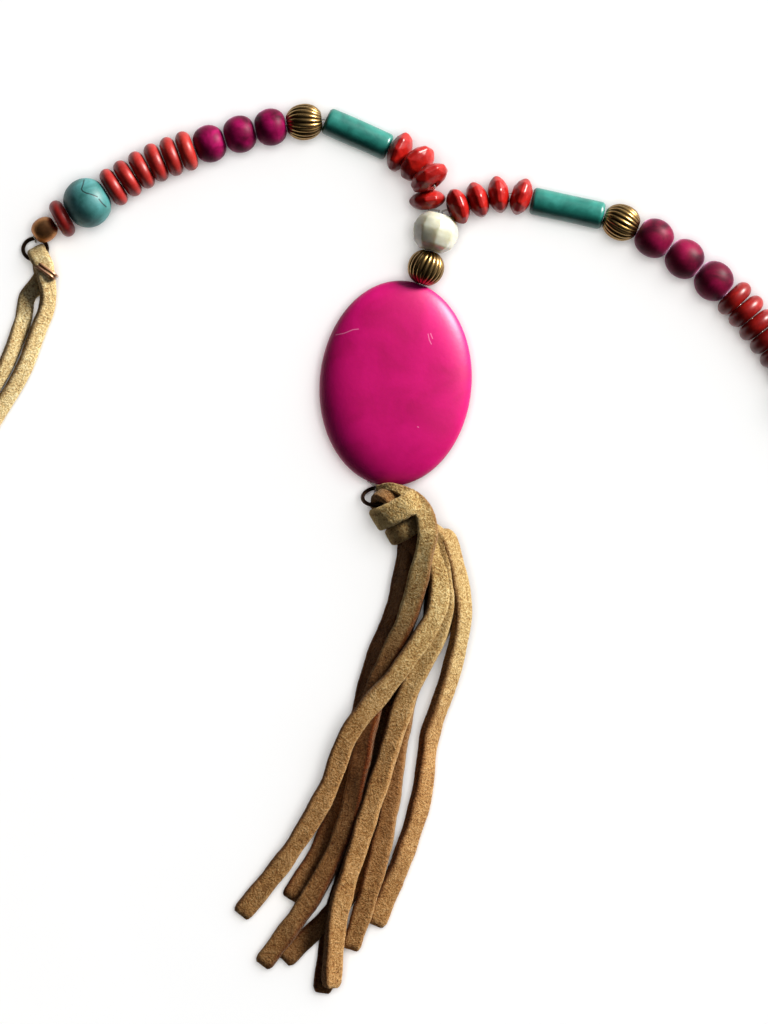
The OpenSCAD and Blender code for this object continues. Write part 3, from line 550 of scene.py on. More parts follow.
def to_place(points, ends):
    """Moves points from a bead's own axes, hole along Z, to where its mouths are."""
    way = unit(ends[1] - ends[0])
    turn = Matrix.Rotation(math.atan2(way[1], way[0]), 3, "Z") @ Matrix.Rotation(
        math.acos(max(-1, min(1, way[2]))), 3, "Y")
    return np.asarray(points) @ np.array(turn).T + (ends[0] + ends[1]) / 2


def waves(points, size, seed):
    """A smooth field from -1 to 1 whose bumps are about size millimetres across."""
    rng = np.random.default_rng(seed)
    total = np.zeros(len(points))
    for _ in range(7):
        way = unit(rng.normal(size=3))
        total += np.sin(points @ way * 2 * math.pi / (size * rng.uniform(0.7, 1.6))
                        + rng.uniform(0, 2 * math.pi))
    return total / 3.5


def skin(rows, steps, capped=False):
    """Faces between rings of points: round again to the first ring, or capped at both ends."""
    faces = [(i * steps + j, i * steps + (j + 1) % steps,
              (i + 1) % rows * steps + (j + 1) % steps, (i + 1) % rows * steps + j)
             for i in range(rows - capped) for j in range(steps)]
    if capped:
        faces += [tuple(range(steps)), tuple(range(rows * steps - 1, (rows - 1) * steps - 1, -1))]
    return faces


def lathe(outline, steps):
    """Points and faces of an outline of (radius, height) swept round Z, closed on itself."""
    angles = np.arange(steps) * 2 * math.pi / steps
    points = np.array([(r * math.cos(a), r * math.sin(a), z) for r, z in outline for a in angles])
    return points, skin(len(outline), steps)


def bead_outline(length, width, rx, rz, fine=14):
    """Half a bead: up the hole, a small rounded mouth, and over the outside."""
    lip, rounding = 0.22, 0.06
    a = np.radians(np.linspace(0, 90, fine))
    low = [(width / 2 - rx + rx * math.sin(t), rz - length / 2 - rz * math.cos(t)) for t in a]
    high = [(r, -z) for r, z in reversed(low)]
    mouth = [(HOLE / 2, lip - length / 2), (HOLE / 2 + rounding, rounding - length / 2)]
    if low[0][0] > HOLE / 2 + lip + 0.3:
        mouth.append((HOLE / 2 + lip, -length / 2))
    rim = high if rz < length / 2 else high[1:]
    return mouth + low + rim + [(r, -z) for r, z in reversed(mouth)]


def place_piece(piece, node):
    """Rides with the root and hides the plain part."""
    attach(piece, "root")
    if node:
        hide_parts(node)
    return piece


# %% [markdown]
# Hand-made stone beads aren't true: each gets its own low waves, so no two catch the light alike.

# %% Turned stone beads
# kind: rounding across as a share of the width (None: DISC_ROUND of the length), rounding along
# (None: half the length), height of the waves, their size, material, slot
DISC_ROUND = 0.55
TURNED = {
    "coral_disc": (None, None, 0.05, 5, CORAL, "coral"),
    "magenta_bead": (0.36, None, 0.07, 7, MAGENTA, "magenta_stone"),
    "turquoise_round": (0.4, None, 0.06, 8, TURQUOISE, "turquoise"),
    "turquoise_tube": (0.145, 0.8, 0.05, 9, TUBE_STONE, "turquoise"),
}
# The crack seen on the left round bead: x and y on the table, its half width, and the height above
# which it shows. That bead has a finer mesh to carry it.
CRACK_W, CRACK_ABOVE = 0.14, 5.5
CRACKED = "turquoise_round_left"
CRACKS = [[(-70.8, 74.2), (-70.95, 73.2), (-71.24, 72.2)],
          [(-71.24, 72.2), (-70.9, 71.75), (-70.2, 71.4), (-69.2, 71.15), (-68.1, 70.7)],
          [(-67.7, 70.2), (-67.1, 69.45), (-66.4, 68.8)]]


def crack_values(points):
    """One near the crack's line, on the upper half only, and nothing elsewhere."""
    flat = points[:, :2]
    nearest = np.full(len(points), 9.0)
    for a, b in [np.array(pair) for line in CRACKS for pair in zip(line[:-1], line[1:])]:
        t = np.clip(((flat - a) @ (b - a)) / ((b - a) @ (b - a)), 0, 1)
        nearest = np.minimum(nearest, np.linalg.norm(flat - (a + t[:, None] * (b - a)), axis=1))
    value = np.clip(1.3 - nearest / CRACK_W, 0, 1)
    value[points[:, 2] < CRACK_ABOVE] = 0
    return value


def stone_bead(row, seed):
    across, along, rise, size, material, slot = TURNED[row["kind"]]
    length, width, node = row["length"], row["width"], row["node"]
    outline = bead_outline(length, width, width * across if across else length * DISC_ROUND,
                           along or length / 2, 70 if node == CRACKED else 14)
    if row["kind"] == "turquoise_tube":
        # The straight side gets rings of its own, so that the waves show on it
        ring, rest = length / 2 - along, length / 2 - along - 0.1
        outline = [p for p in outline if p[1] < -ring] + [
            (width / 2, z) for z in np.linspace(-rest, rest, 26)] + [
            p for p in outline if p[1] > ring]
    points, faces = lathe(outline, 300 if node == CRACKED else 72)
    out = points * (1, 1, 0)
    far = np.linalg.norm(out, axis=1, keepdims=True)
    swell = rise * waves(points, size, seed)[:, None] * np.clip((far - HOLE / 2) / 1.5, 0, 1)
    placed = to_place(points + out / np.maximum(far, 1e-6) * swell, row["ends"])
    values = {}
    if slot == "turquoise":
        values["crack"] = crack_values(placed) if node == CRACKED else np.zeros(len(placed))
    if "_right" in node:
        material = {CORAL: DARK_CORAL, MAGENTA: DARK_MAGENTA}.get(material, material)
    place_piece(mesh_object(node + "_stone", placed, faces, material, **values), node)


turned = beads_of(TURNED)
for seed, row in enumerate(turned, 1):
    stone_bead(row, seed)
print("turned stone beads:", len(turned))

# %% [markdown]
# The rondelles and the white bead are cut: rows of flat facets round the hole, on the rondelles
# each row half a facet further round. Tumbling rounds every edge a little, and here a bevel does.

# %% Cut beads
# share of the length, share of the radius, half facets turned; then how far the edges are worn
RONDELLE_CUT = [(-0.5, 0.4, 0), (-0.34, 0.77, 1), (-0.1, 1, 2), (0.1, 1, 2), (0.34, 0.77, 3),
                (0.5, 0.4, 4)]
WHITE_CUT = [(-0.5, 0.52, 0), (-0.33, 0.86, 0), (-0.08, 1, 0), (0.08, 1, 0), (0.33, 0.86, 0),
             (0.5, 0.52, 0)]
RONDELLE_SOFT, WHITE_SOFT = 0.24, 1.25


def cut_bead(bead, sides, rings, soft, seed, material, broad=1, crisp=True):
    """A faceted bead from its rings, drilled, with its edges softened by so many millimetres."""
    rng = np.random.default_rng(seed)
    node, length, width = bead["node"], bead["length"], bead["width"] * broad
    hole = HOLE / width
    rows = [(-0.5, hole, rings[0][2])] + rings + [(0.5, hole, rings[-1][2])]
    start = rng.uniform(0, 1)
    points = []
    for z, r, turned in rows:
        for j in range(sides):
            a = 2 * math.pi * (j + turned / 2 + start) / sides
            grow = 1 + (rng.uniform(-0.02, 0.02) if r > 0.5 else 0)
            points.append((width / 2 * r * grow * math.cos(a), width / 2 * r * grow * math.sin(a),
                           length * z))
    faces = []
    for k in range(len(rows)):
        nxt = (k + 1) % len(rows)
        # Down the hole the last ring meets the first, whole facets further round
        shift = 0 if nxt else rows[-1][2] // 2
        for j in range(sides):
            a, b = k * sides + j, k * sides + (j + 1) % sides
            c, d = nxt * sides + (j + shift) % sides, nxt * sides + (j + shift + 1) % sides
            if nxt == 0 or rows[k][2] == rows[nxt][2]:
                faces.append((b, a, c, d))
            else:
                faces += [(b, a, c), (b, c, d)]
    piece = mesh_object(node + "_cut", to_place(points, bead["ends"]), faces, material)
    bevel = piece.modifiers.new("soft edges", "BEVEL")
    bevel.width = soft * MM
    bevel.segments = 3
    bevel.limit_method = "ANGLE"
    bevel.angle_limit = math.radians(8)
    bevel.harden_normals = crisp
    settle(piece)
    place_piece(piece, node)


def settle(piece):
    """Puts the result of a piece's modifiers into its mesh and removes them."""
    bpy.context.view_layer.update()
    graph = bpy.context.evaluated_depsgraph_get()
    mesh = bpy.data.meshes.new_from_object(piece.evaluated_get(graph), depsgraph=graph)
    piece.modifiers.clear()
    old = piece.data
    piece.data = mesh
    bpy.data.meshes.remove(old)
    mesh.name = piece.name


rondelles = beads_of(["coral_rondelle"])
for seed, row in enumerate(rondelles, 50):
    # Those that lead up to the left tube are cut broader than the rest
    cut_bead(row, 10, RONDELLE_CUT, RONDELLE_SOFT, seed, CORAL_RED,
             broad=1.12 if row["node"][-6:] in ("left_2", "left_3", "left_4") else 1)
cut_bead(DROP[0], 9, WHITE_CUT, WHITE_SOFT, 60, MILKY, crisp=False)
print("cut beads:", len(rondelles) + 1)

# %% [markdown]
# The ridged beads are cast with ridges from hole to hole and plated. Geometry Nodes rolls a grid
# into the bead: one rule gives the swell, the ridges and the height that the patina follows.

# %% Ridged beads with Geometry Nodes
def new_group(name, *numbers):
    """A node group with named number inputs and a material, and what its input node gives."""
    group = bpy.data.node_groups.new(name, "GeometryNodeTree")
    for key, kind, way in [("Geometry", "Geometry", "INPUT"), ("Geometry", "Geometry", "OUTPUT"),
                           *((key, "Float", "INPUT") for key in numbers),
                           ("Material", "Material", "INPUT")]:
        group.interface.new_socket(key, in_out=way, socket_type="NodeSocket" + kind)
    return group, add(group, "NodeGroupInput").node.outputs


def close_group(group, geometry, material):
    """Ends a node group with real geometry, shaded smooth, in its material."""
    smooth = add(group, "SetShadeSmooth", add(group, "RealizeInstances", geometry))
    add(group, "NodeGroupOutput", add(group, "SetMaterial", smooth, Material=material))
    return group


# How square the bead's side is, how far it narrows to the mouth, and how sharp a ridge is
SQUARENESS, NARROWING, SHARPNESS = 2.2, 1.84, 0.45


def ridged_group():
    g, given = new_group("Ridged bead", "Length", "Width", "Hole", "Ridges", "Depth", "Twist")
    place = add(g, "SeparateXYZ", add(g, "InputPosition")).node.outputs
    up = place[1]
    around = add(g, "Math:MULTIPLY", add(g, "Math:ADD", place[0], 0.5), 2 * math.pi)
    ripple = add(g, "Math:COSINE", add(g, "Math:MULTIPLY", around, given["Ridges"]))
    ridge = add(g, "Math:POWER", add(g, "Math:MULTIPLY_ADD", ripple, 0.5, 0.5), SHARPNESS)
    off = add(g, "Math:ABSOLUTE", add(g, "Math:MULTIPLY", up, NARROWING))
    bulge = add(g, "Math:SUBTRACT", 1, add(g, "Math:POWER", off, SQUARENESS))
    bulge = add(g, "Math:SQRT", add(g, "Math:MAXIMUM", bulge, 0.02))
    sunk = add(g, "Math:MULTIPLY", add(g, "Math:SUBTRACT", 1, ridge), given["Depth"])
    half, bore = (add(g, "Math:MULTIPLY", given[key], 0.5) for key in ("Width", "Hole"))
    wide = add(g, "Math:MULTIPLY", bulge, add(g, "Math:SUBTRACT", half, sunk))
    radius = add(g, "Math:MAXIMUM", wide, bore)
    angle = add(g, "Math:ADD", around, add(g, "Math:MULTIPLY", up, given["Twist"]))
    x, y = (add(g, "Math:MULTIPLY", radius, add(g, kind, angle))
            for kind in ("Math:COSINE", "Math:SINE"))
    rolled = add(g, "CombineXYZ", x, y, add(g, "Math:MULTIPLY", up, given["Length"]))
    grid = add(g, "MeshGrid", 1, 1, 201, 61)
    kept = add(g, "StoreNamedAttribute:FLOAT", grid, Name="ridge", Value=ridge)
    cast = add(g, "SetPosition", kept, Position=rolled)
    tube = add(g, "MeshCylinder", Vertices=200, Side_Segments=1, Radius=bore,
               Depth=given["Length"], fill_type="NONE")
    joined = add(g, "JoinGeometry", cast)
    g.links.new(add(g, "FlipFaces", tube), joined.node.inputs[0])
    welded = add(g, "MergeByDistance", joined, Distance=0.00001)
    return close_group(g, welded, given["Material"])


def run_group(name, group, mesh, **values):
    """Runs a node group on a mesh and keeps only its result, as a new object."""
    piece = new_object(name, mesh)
    modifier = piece.modifiers.new("make", "NODES")
    modifier.node_group = group
    for item in group.interface.items_tree:
        if item.item_type == "SOCKET" and item.in_out == "INPUT" and item.name in values:
            modifier[item.identifier] = values[item.name]
    settle(piece)
    return piece


RIDGED = ridged_group()
for row in beads_of(["gold_bead"]) + [DROP[1]]:
    node = row["node"]
    piece = run_group(node + "_cast", RIDGED, bpy.data.meshes.new(node + "_cast"),
                      Length=row["length"] * MM, Width=row["width"] * MM, Hole=HOLE * MM,
                      Ridges=20.0, Depth=0.26 * MM, Twist=0.35, Material=ANTIQUE_GOLD)
    spots = np.empty(len(piece.data.vertices) * 3)
    piece.data.vertices.foreach_get("co", spots)
    placed = to_place(spots.reshape(-1, 3) / MM, row["ends"]) * MM
    piece.data.vertices.foreach_set("co", placed.ravel())
    face_outward(piece.data)
    place_piece(piece, node)
    print(node, len(piece.data.polygons), "faces")

# %% [markdown]
# The smooth beads at the ends are thin brass, rolled round with a small collar at each mouth.

# %% End beads
for row in beads_of(["end_bead"]):
    outline = bead_outline(row["length"], row["width"], row["width"] * 0.33, row["length"] / 2)
    points, faces = lathe(outline, 64)
    piece = mesh_object(row["node"] + "_brass", to_place(points, row["ends"]), faces, SMALL_GOLD,
                        ridge=0.55 + 0.35 * waves(points, 3, 90))
    place_piece(piece, row["node"])
    print(row["node"], len(faces), "faces")

# %% [markdown]
# The pendant is a slab of dyed stone ground to an oval, flat in the middle with a full round rim.
# Ground by hand, its face has faint low waves, which show as soft changes in the shine.

# %% Oval pendant
def pendant_piece():
    # share of the oval and share of the thickness, from the middle of the face to the rim
    shares = np.concatenate([[0.02, 0.1, 0.2, 0.3], np.sin(np.radians(np.linspace(22, 90, 26)))])
    face = [(r, 0.5 * max(0, 1 - r ** 3.2) ** 0.55) for r in shares]
    outline = face + [(r, -z) for r, z in reversed(face[:-1])]
    steps = 128
    angles = [2 * math.pi * j / steps for j in range(steps)]
    points = np.array([(PENDANT["t"] * z, PENDANT["w"] / 2 * r * math.cos(a),
                        PENDANT["h"] / 2 * r * math.sin(a)) for r, z in outline for a in angles])
    points[:, 0] *= 1 + 0.02 * waves(points * (0, 1, 1), 18, 70)
    turn = np.array(Matrix.Rotation(-PENDANT["turn"], 3, "X"))
    placed = to_place(points @ turn.T, DROP[2]["ends"])
    return place_piece(mesh_object("oval_pendant_slab", placed, skin(len(outline), steps, True),
                                   PENDANT_STONE), "oval_pendant")


pendant = pendant_piece()
print("pendant faces:", len(pendant.data.polygons))

# %% [markdown]
# ## Wire and thread
# Rings are bent from dark wire, and clear nylon runs through the beads. Both are round sections
# swept along a line of points, which one node group does.

# %% Round wire along a line
def wire_group():
    g, given = new_group("Round wire", "Diameter")
    section = add(g, "CurvePrimitiveCircle", Resolution=14,
                  Radius=add(g, "Math:MULTIPLY", given["Diameter"], 0.5))
    tube = add(g, "CurveToMesh", Curve=add(g, "MeshToCurve", given["Geometry"]),
               Profile_Curve=section, Fill_Caps=True)
    cloud = add(g, "TexNoise", add(g, "InputPosition"), 1 / (2.5 * MM))
    kept = add(g, "StoreNamedAttribute:FLOAT", tube, Name="ridge", Value=cloud)
    return close_group(g, kept, given["Material"])


WIRES = wire_group()


def wire(name, line, diameter, material, closed=False):
    """A round wire along points in millimetres."""
    mesh = bpy.data.meshes.new(name)
    count = len(line)
    edges = [(i, i + 1) for i in range(count - 1)] + ([(count - 1, 0)] if closed else [])
    mesh.from_pydata((np.asarray(line, float) * MM).tolist(), edges, [])
    piece = run_group(name, WIRES, mesh, Diameter=diameter * MM, Material=material)
    face_outward(piece.data)
    return piece


def curved(rows, steps):
    """A smooth curve through rows of numbers, with steps pieces between each pair."""
    rows = np.asarray(rows, float)
    padded = np.vstack([rows[:1], rows, rows[-1:]])
    t = np.arange(steps)[:, None] / steps
    out = []
    for a, b, c, d in zip(padded[:-3], padded[1:-2], padded[2:-1], padded[3:]):
        out.append(0.5 * (2 * b + (c - a) * t + (2 * a - 5 * b + 4 * c - d) * t ** 2
                          + (3 * b - a - 3 * c + d) * t ** 3))
    return np.vstack(out + [rows[-1:]])


def ring_points(middle, tilt, heading, outer, count=64):
    turn = np.array(Matrix.Rotation(heading, 3, "Z") @ Matrix.Rotation(-tilt, 3, "Y"))
    a = np.arange(count) * 2 * math.pi / count
    r = (outer - WIRE) / 2
    return np.stack([r * np.cos(a), r * np.sin(a), 0 * a], axis=1) @ turn.T + middle


# The tassel's ring hangs askew: its middle from the pendant's mouth, in ring widths, the way it
# points and the way across that, and its heading
TASSEL_RING = DROP[2]["ends"][1] + np.array([0.2203, -0.4436, 0.0152]) * TASSEL_RING_D
RING_WAY, RING_ACROSS = np.array([0.105, -0.995, 0]), np.array([0.995, 0.105, 0])
RING_HEADING = math.radians(-84)
for side in BEADS:
    way = end_way(side)
    points = ring_points(end_ring_middle(side), END_RING_TILT, math.atan2(way[1], way[0]), END_RING)
    place_piece(wire(f"end_ring_{side}_wire", points, WIRE, BRONZE_WIRE, True), f"end_ring_{side}")
points = ring_points(TASSEL_RING, TASSEL_RING_TILT, RING_HEADING, TASSEL_RING_D)
place_piece(wire("tassel_ring_wire", points, WIRE, BRONZE_WIRE, True), "tassel_ring")


def hook(middle, way, outer, tilt, angles, shift):
    """The nylon's bend round the wire of a ring, at these angles and moved by a shift."""
    play = 0.15
    r, turn = (outer - WIRE) / 2, (WIRE + THREAD) / 2 + play
    near = middle - way * r * math.cos(tilt) - (0, 0, r * math.sin(tilt)) + np.array(shift)
    return [near + way * turn * math.cos(a) + (0, 0, turn * math.sin(a))
            for a in np.radians(angles)]


def thread_line(side, shift):
    """The nylon's points: round the end ring, through every hole, down the drop to its ring."""
    rows, line = BEADS[side], []
    way, last = end_way(side), BEADS[side][-1]["ends"]
    line += hook(end_ring_middle(side), way, END_RING, END_RING_TILT, [-15, 20, 60], (0, 0, 0))
    line.append(last[1] + unit(last[1] - last[0]) * THREAD)
    inside = [rows[0]["ends"][0]]
    for one, nxt in zip(rows[:-1], rows[1:]):
        a, b = one["ends"][1], nxt["ends"][0]
        if np.linalg.norm(b - a) < 5 * THREAD:
            inside.append((a + b) / 2)
        else:
            out, on = unit(b - nxt["ends"][1]) * THREAD, unit(a - one["ends"][0]) * THREAD * 1.9
            inside += [a, a + on, (a + b) / 2 + out * 2, b + out, b]
    inside.append(last[1])
    line += inside[::-1]
    first = rows[0]["ends"]
    line.append(first[0] + unit(first[0] - first[1]) * THREAD * 0.3)
    line.append(DROP[0]["ends"][0] - DROP_WAY * THREAD * 1.5 + DROP_SIDE * shift)
    line += [p + DROP_SIDE * shift for p in (
        DROP[0]["ends"][0], (DROP[0]["ends"][1] + DROP[1]["ends"][0]) / 2,
        (DROP[1]["ends"][1] + DROP[2]["ends"][0]) / 2, DROP[2]["ends"][1])]
    line += hook(TASSEL_RING, RING_WAY, TASSEL_RING_D, TASSEL_RING_TILT, range(130, -111, -40),
                 (shift, 0, 0))
    return line


for side, shift in (("left", -0.32), ("right", 0.32)):
    line = thread_line(side, shift)
    place_piece(wire(f"thread_{side}_nylon", line, THREAD, NYLON), f"thread_{side}")
    print("thread", side, round(run_along(line)[-1]), "mm")

# %% [markdown]
# ## Suede
# Every strip of suede is one section swept along its own line. Each point of the line carries the
# way across the strip and the way up from it, so a strip can lie flat, lean on its neighbour or
# stand on its edge, and the node group only has to follow. It then lifts a nap from the surface.

# %% Strips along a line, with Geometry Nodes
def strip_group():
    g, given = new_group("Suede strip", "Width", "Thickness", "Edge", "Nap", "Nap size", "Seed")
    box = add(g, "CurvePrimitiveQuadrilateral", Width=given["Width"], Height=given["Thickness"])
    soft = add(g, "FilletCurve", box, Count=4, Radius=given["Edge"], Limit_Radius=True,
               mode="POLY")
    section = add(g, "StoreNamedAttribute:FLOAT_VECTOR", add(g, "ResampleCurve", soft, Count=40),
                  Name="section", Value=add(g, "InputPosition"))
    tube = add(g, "CurveToMesh", Curve=add(g, "MeshToCurve", given["Geometry"]),
               Profile_Curve=section, Fill_Caps=True)
    place, spine, side, up = (add(g, "InputNamedAttribute:FLOAT_VECTOR", key)
                              for key in ("section", "spine", "side", "up"))
    share, thick = (add(g, "InputNamedAttribute:FLOAT", key) for key in ("share", "thick"))
    parts = add(g, "SeparateXYZ", place).node.outputs
    across = add(g, "VectorMath:SCALE", side, add(g, "Math:MULTIPLY", parts[0], share))
    rise = add(g, "VectorMath:SCALE", up, add(g, "Math:MULTIPLY", parts[1], thick))
    where = add(g, "VectorMath:ADD", spine, add(g, "VectorMath:ADD", across, rise))
    laid = add(g, "SetPosition", tube, Position=where)
    shifted = add(g, "VectorMath:ADD", add(g, "InputPosition"), add(g, "CombineXYZ", given["Seed"]))
    nap = add(g, "TexNoise", shifted, add(g, "Math:DIVIDE", 1, given["Nap size"]), 3, 0.6)
    height = add(g, "Math:MULTIPLY", add(g, "Math:SUBTRACT", nap, 0.5), given["Nap"])
    napped = add(g, "SetPosition", laid,
                 Offset=add(g, "VectorMath:SCALE", add(g, "InputNormal"), height))
    return close_group(g, napped, given["Material"])


STRIPS = strip_group()


def sides_of(ways):
    """The level way across a line, kept where the line stands up."""
    out, side = [], np.array([1.0, 0, 0])
    for way in ways:
        level = np.cross(way, (0, 0, 1))
        if np.linalg.norm(level) < 0.35:
            side = unit(side - (side @ way) * way)
        else:
            side = unit(level) * (-1 if level @ side < 0 else 1)
        out.append(side)
    return np.array(out)


NAP_SIZE = 0.8


def strip(name, rows, width, thickness, material, nap, seed, edge, left_flank_shade, across=None):
    """A strip along rows of x, y, z, share of width, turn in degrees, share of thickness and
    painted shade.

    The way across is level, or as near to the given way as the line lets it be. The left flank gets
    painted shade by the given share, as if lit from the right."""
    rows = np.asarray(rows, float)
    line, turn = rows[:, :3], np.radians(rows[:, 4])[:, None]
    ways = ways_of(line)
    side = sides_of(ways) if across is None else np.array(
        [unit(np.array(across) - (np.array(across) @ way) * way) for way in ways])
    up = np.cross(ways, side)
    mesh = bpy.data.meshes.new(name)
    mesh.from_pydata((line * MM).tolist(), [(i, i + 1) for i in range(len(line) - 1)], [])
    carry(mesh, spine=line * MM, side=side * np.cos(turn) - up * np.sin(turn),
          up=side * np.sin(turn) + up * np.cos(turn),
          share=rows[:, 3], thick=rows[:, 5], soil=rows[:, 6])
    piece = run_group(name, STRIPS, mesh, Material=material, Seed=float(seed), **{
        key: value * MM for key, value in {
            "Width": width, "Thickness": thickness, "Edge": edge, "Nap": nap,
            "Nap size": NAP_SIZE}.items()})
    made = piece.data.attributes
    count = len(piece.data.vertices)
    section, dark = np.empty(count * 3, "f"), np.empty(count, "f")
    made["section"].data.foreach_get("vector", section)
    made["soil"].data.foreach_get("value", dark)
    # Painted shade on the left flank, as if the light came from the right.
    left = np.clip(-section[::3] / (width * MM / 2) * 2 - 1, 0, 1)
    made["soil"].data.foreach_set("value", np.clip(dark + left_flank_shade * left, 0, 1))
    for key in ("spine", "side", "up", "share", "thick", "section"):
        if key in made:
            made.remove(made[key])
    face_outward(piece.data)
    return piece


# %% [markdown]
# The two runs of the lace follow the paths worked out above. Each run's length is the one that its
# path measures, and it is printed.

# %% Laces
# The lean in degrees, its wave and the wave's reach; the flat end, and how fast the lean and the
# even height come in after it; the step between points, and the points that a height is evened over
LACE_LEAN, LEAN_WAVE, WAVE_REACH = 24, 7, 9
FLAT_END, LEAN_IN, EVEN_IN = 9, 6, 3
LACE_STEP, EVENED = 0.45, 21

for name, exit_at in (("inner", 0), ("outer", -1)):
    rows = np.array(LACES[name], float)
    rows[:, 3] = 1 + 0.3 * (1 - rows[:, 3])
    rows = curved(np.column_stack([rows, np.zeros(len(rows)), np.ones(len(rows)),
                                   np.zeros(len(rows))]), 12)
    keep, run = [0], run_along(rows)
    for i in range(1, len(rows)):
        if run[i] - run[keep[-1]] > LACE_STEP:
            keep.append(i)
    rows = rows[keep]
    run = run_along(rows)
    length = float(run[-1])
    ends = np.minimum(run, length - run) - FLAT_END
    rows[:, 4] = (LACE_LEAN + LEAN_WAVE * np.sin(run / WAVE_REACH)) * np.clip(ends / LEAN_IN, 0, 1)
    padded = np.pad(rows[:, 2], EVENED // 2, "edge")
    even = np.convolve(padded, np.full(EVENED, 1 / EVENED), "valid")
    late = np.clip(ends / EVEN_IN, 0, 1)
    lean = np.radians(rows[:, 4])
    low = LACE_W / 2 * np.sin(lean) + LACE_T / 2 * np.cos(lean) + 0.2
    rows[:, 2] = np.maximum(rows[:, 2] * (1 - late) + even * late, low)
    # The last number gives the lace 0.6 of painted shade on its left flank.
    piece = strip(f"lace_{name}_suede", rows, LACE_W, LACE_T + 0.1, LACE_SUEDE, 0.3, len(name),
                  0.8, 0.6)
    place_piece(piece, f"lace_{name}")
    path = [tuple(p * MM) for p in rows[:, :3]]
    if exit_at:
        path = path[::-1]
    length = float(run_along(rows)[-1])
    print("lace", name, round(length, 1), "mm,", len(piece.data.polygons), "faces")

# %% [markdown]
# A small crimp closes the folded lace: two turns of copper coloured band side by side.

# %% Crimps
# Thickness of the band, half the distance of its turns, and how square they are; then each
# crimp's x and y from the fold and its turn in degrees
CRIMP_WIRE, CRIMP_APART, CRIMP_SQUARE = 0.6, 0.36, 0.35
CRIMP_PLACES = {"left": (1.2, -2.5, -36), "right": (0.8, -3.1, 12)}


def crimp(side):
    x, y, turned = CRIMP_PLACES[side]
    place = fold(side)[0]
    middle = np.array([place[0] + x, place[1] + y, (CRIMP_LOW + CRIMP_HIGH) / 2])
    half_w, half_h = (LACE_W + 1.1) / 2, (2 * LACE_T + 2 * CRIMP_PLAY + CRIMP_T) / 2
    a = np.radians(np.arange(0, 360, 6))
    x_share, z_share = (np.sign(v) * np.abs(v) ** CRIMP_SQUARE for v in (np.cos(a), np.sin(a)))
    loop = np.stack([x_share * half_w, 0 * a, z_share * half_h], axis=1)
    turn = np.array(Matrix.Rotation(math.radians(turned), 3, "Z"))
    for k, along in enumerate((-CRIMP_APART, CRIMP_APART)):
        points = (loop + (0, along, 0)) @ turn.T + middle
        piece = wire(f"lace_crimp_{side}_turn_{k + 1}", points, CRIMP_WIRE, COPPER_CRIMP, True)
        place_piece(piece, f"lace_crimp_{side}" if k == 0 else None)


for side in BEADS:
    crimp(side)

# %% [markdown]
# The tassel is cut from one piece of suede, folded through its ring and bound with the same
# suede. Each strand has its own line: how far it reaches, how it drifts to the side, how high it
# lies on the others and how far it stands on its edge.

# %% Tassel
TASSEL_LEN, STRAND_W, STRAND_T, HEAD_LEN = 100, 4, 2.1, 8
TASSEL_TOP = TASSEL_RING[:2] + np.array([0.5455, -0.2576]) * TASSEL_RING_D
# end, side at seven even steps, height at the same steps, then turn at the head, halfway and the
# end, and painted shade (how dark the hide is made where it lies in shade) at the head, a third of
# the way down and the end
STRANDS = [
    (0.822, [0.078, 0.084, 0.01, -0.088, -0.138, -0.212, -0.31],
     [3, 3.4, 3.5, 3, 2.3, 1.5, 0.5], [14, 0, 0], [0, 0.15, 0.15]),
    (0.79, [0.024, 0.004, -0.042, -0.07, -0.098, -0.14, -0.21],
     [1.8, 1.6, 1.4, 1.2, 0.8, 0.5, 0.5], [-42, -32, -5], [0.85, 0.95, 0.5]),
    (0.922, [0.062, 0.026, -0.036, -0.066, -0.098, -0.166, -0.266],
     [3.9, 3, 2.5, 2.2, 1.8, 1.6, 0.7], [-8, -25, -5], [0, 0.85, 0.3]),
    (0.912, [0.034, 0.024, -0.014, -0.036, -0.054, -0.09, -0.224],
     [0.9, 0.6, 0.5, 0.5, 0.5, 0.5, 0.5], [-30, -25, 0], [0.8, 0.8, 0.5]),
    (0.966, [0.086, 0.094, 0.026, -0.022, -0.07, -0.114, -0.128],
     [2.9, 2.9, 2.7, 2.6, 2.4, 2.1, 1.5], [-10, -12, 34], [0.3, 0.15, 0]),
    (0.89, [0.09, 0.104, 0.036, 0.004, -0.014, -0.046, -0.09],
     [1.9, 1.6, 1.5, 1.4, 1.4, 1.4, 0.8], [-20, -14, 0], [0.85, 0.8, 0.15]),
    (0.842, [0.108, 0.134, 0.112, 0.07, 0.052, 0.012, -0.042],
     [2.6, 2.4, 1.7, 1.2, 0.7, 0.5, 0.5], [40, 45, 8], [0.22, 0.04, 0.16]),
    (0.978, [0.066, 0.076, 0.002, -0.038, -0.082, -0.122, -0.146],
     [1.1, 1, 0.8, 0.6, 0.5, 0.5, 0.5], [0, 0, 0], [0.8, 0.8, 0.6]),
]


def tassel_point(depth, side, z):
    return (TASSEL_TOP[0] + side, TASSEL_TOP[1] - depth, z)


# A strand's neck in the knot: depth, then the share of its own side and of its own height that it
# has there. The rest follows the knot, which leans by NECK_SLOPE and is NECK_HEIGHT strands high.
NECK = [(2.6, 0.45, 0.35), (4.6, 0.72, 0.55), (6.4, 0.92, 0.85)]
NECK_SLOPE, NECK_HEIGHT, NECK_W = 0.8, 2.3, 0.85
# A strand's slow waves: column (width, thickness, turn), height and size in millimetres
WANDER = [(3, 0.07, 13), (5, 0.03, 11), (4, 3, 17)]
# One strand comes over the knot from the ring, by its seed: depth, side, height and share of width
# at first, then its turn and painted shade there
OVER_THE_KNOT, OVER_TURN, OVER_PAINTED_SHADE = 12, 4, 0.12
OVER_ROWS = [(-3.3, -3, 4.6, 0.3), (-3.5, -0.8, 6.4, 0.42), (-2.6, 1.6, 7.4, 0.6),
             (-0.7, 4.1, 7.8, 0.85), (1.8, 5.8, 8.1, 0.97), (4.8, 6.4, 8.2, 1)]


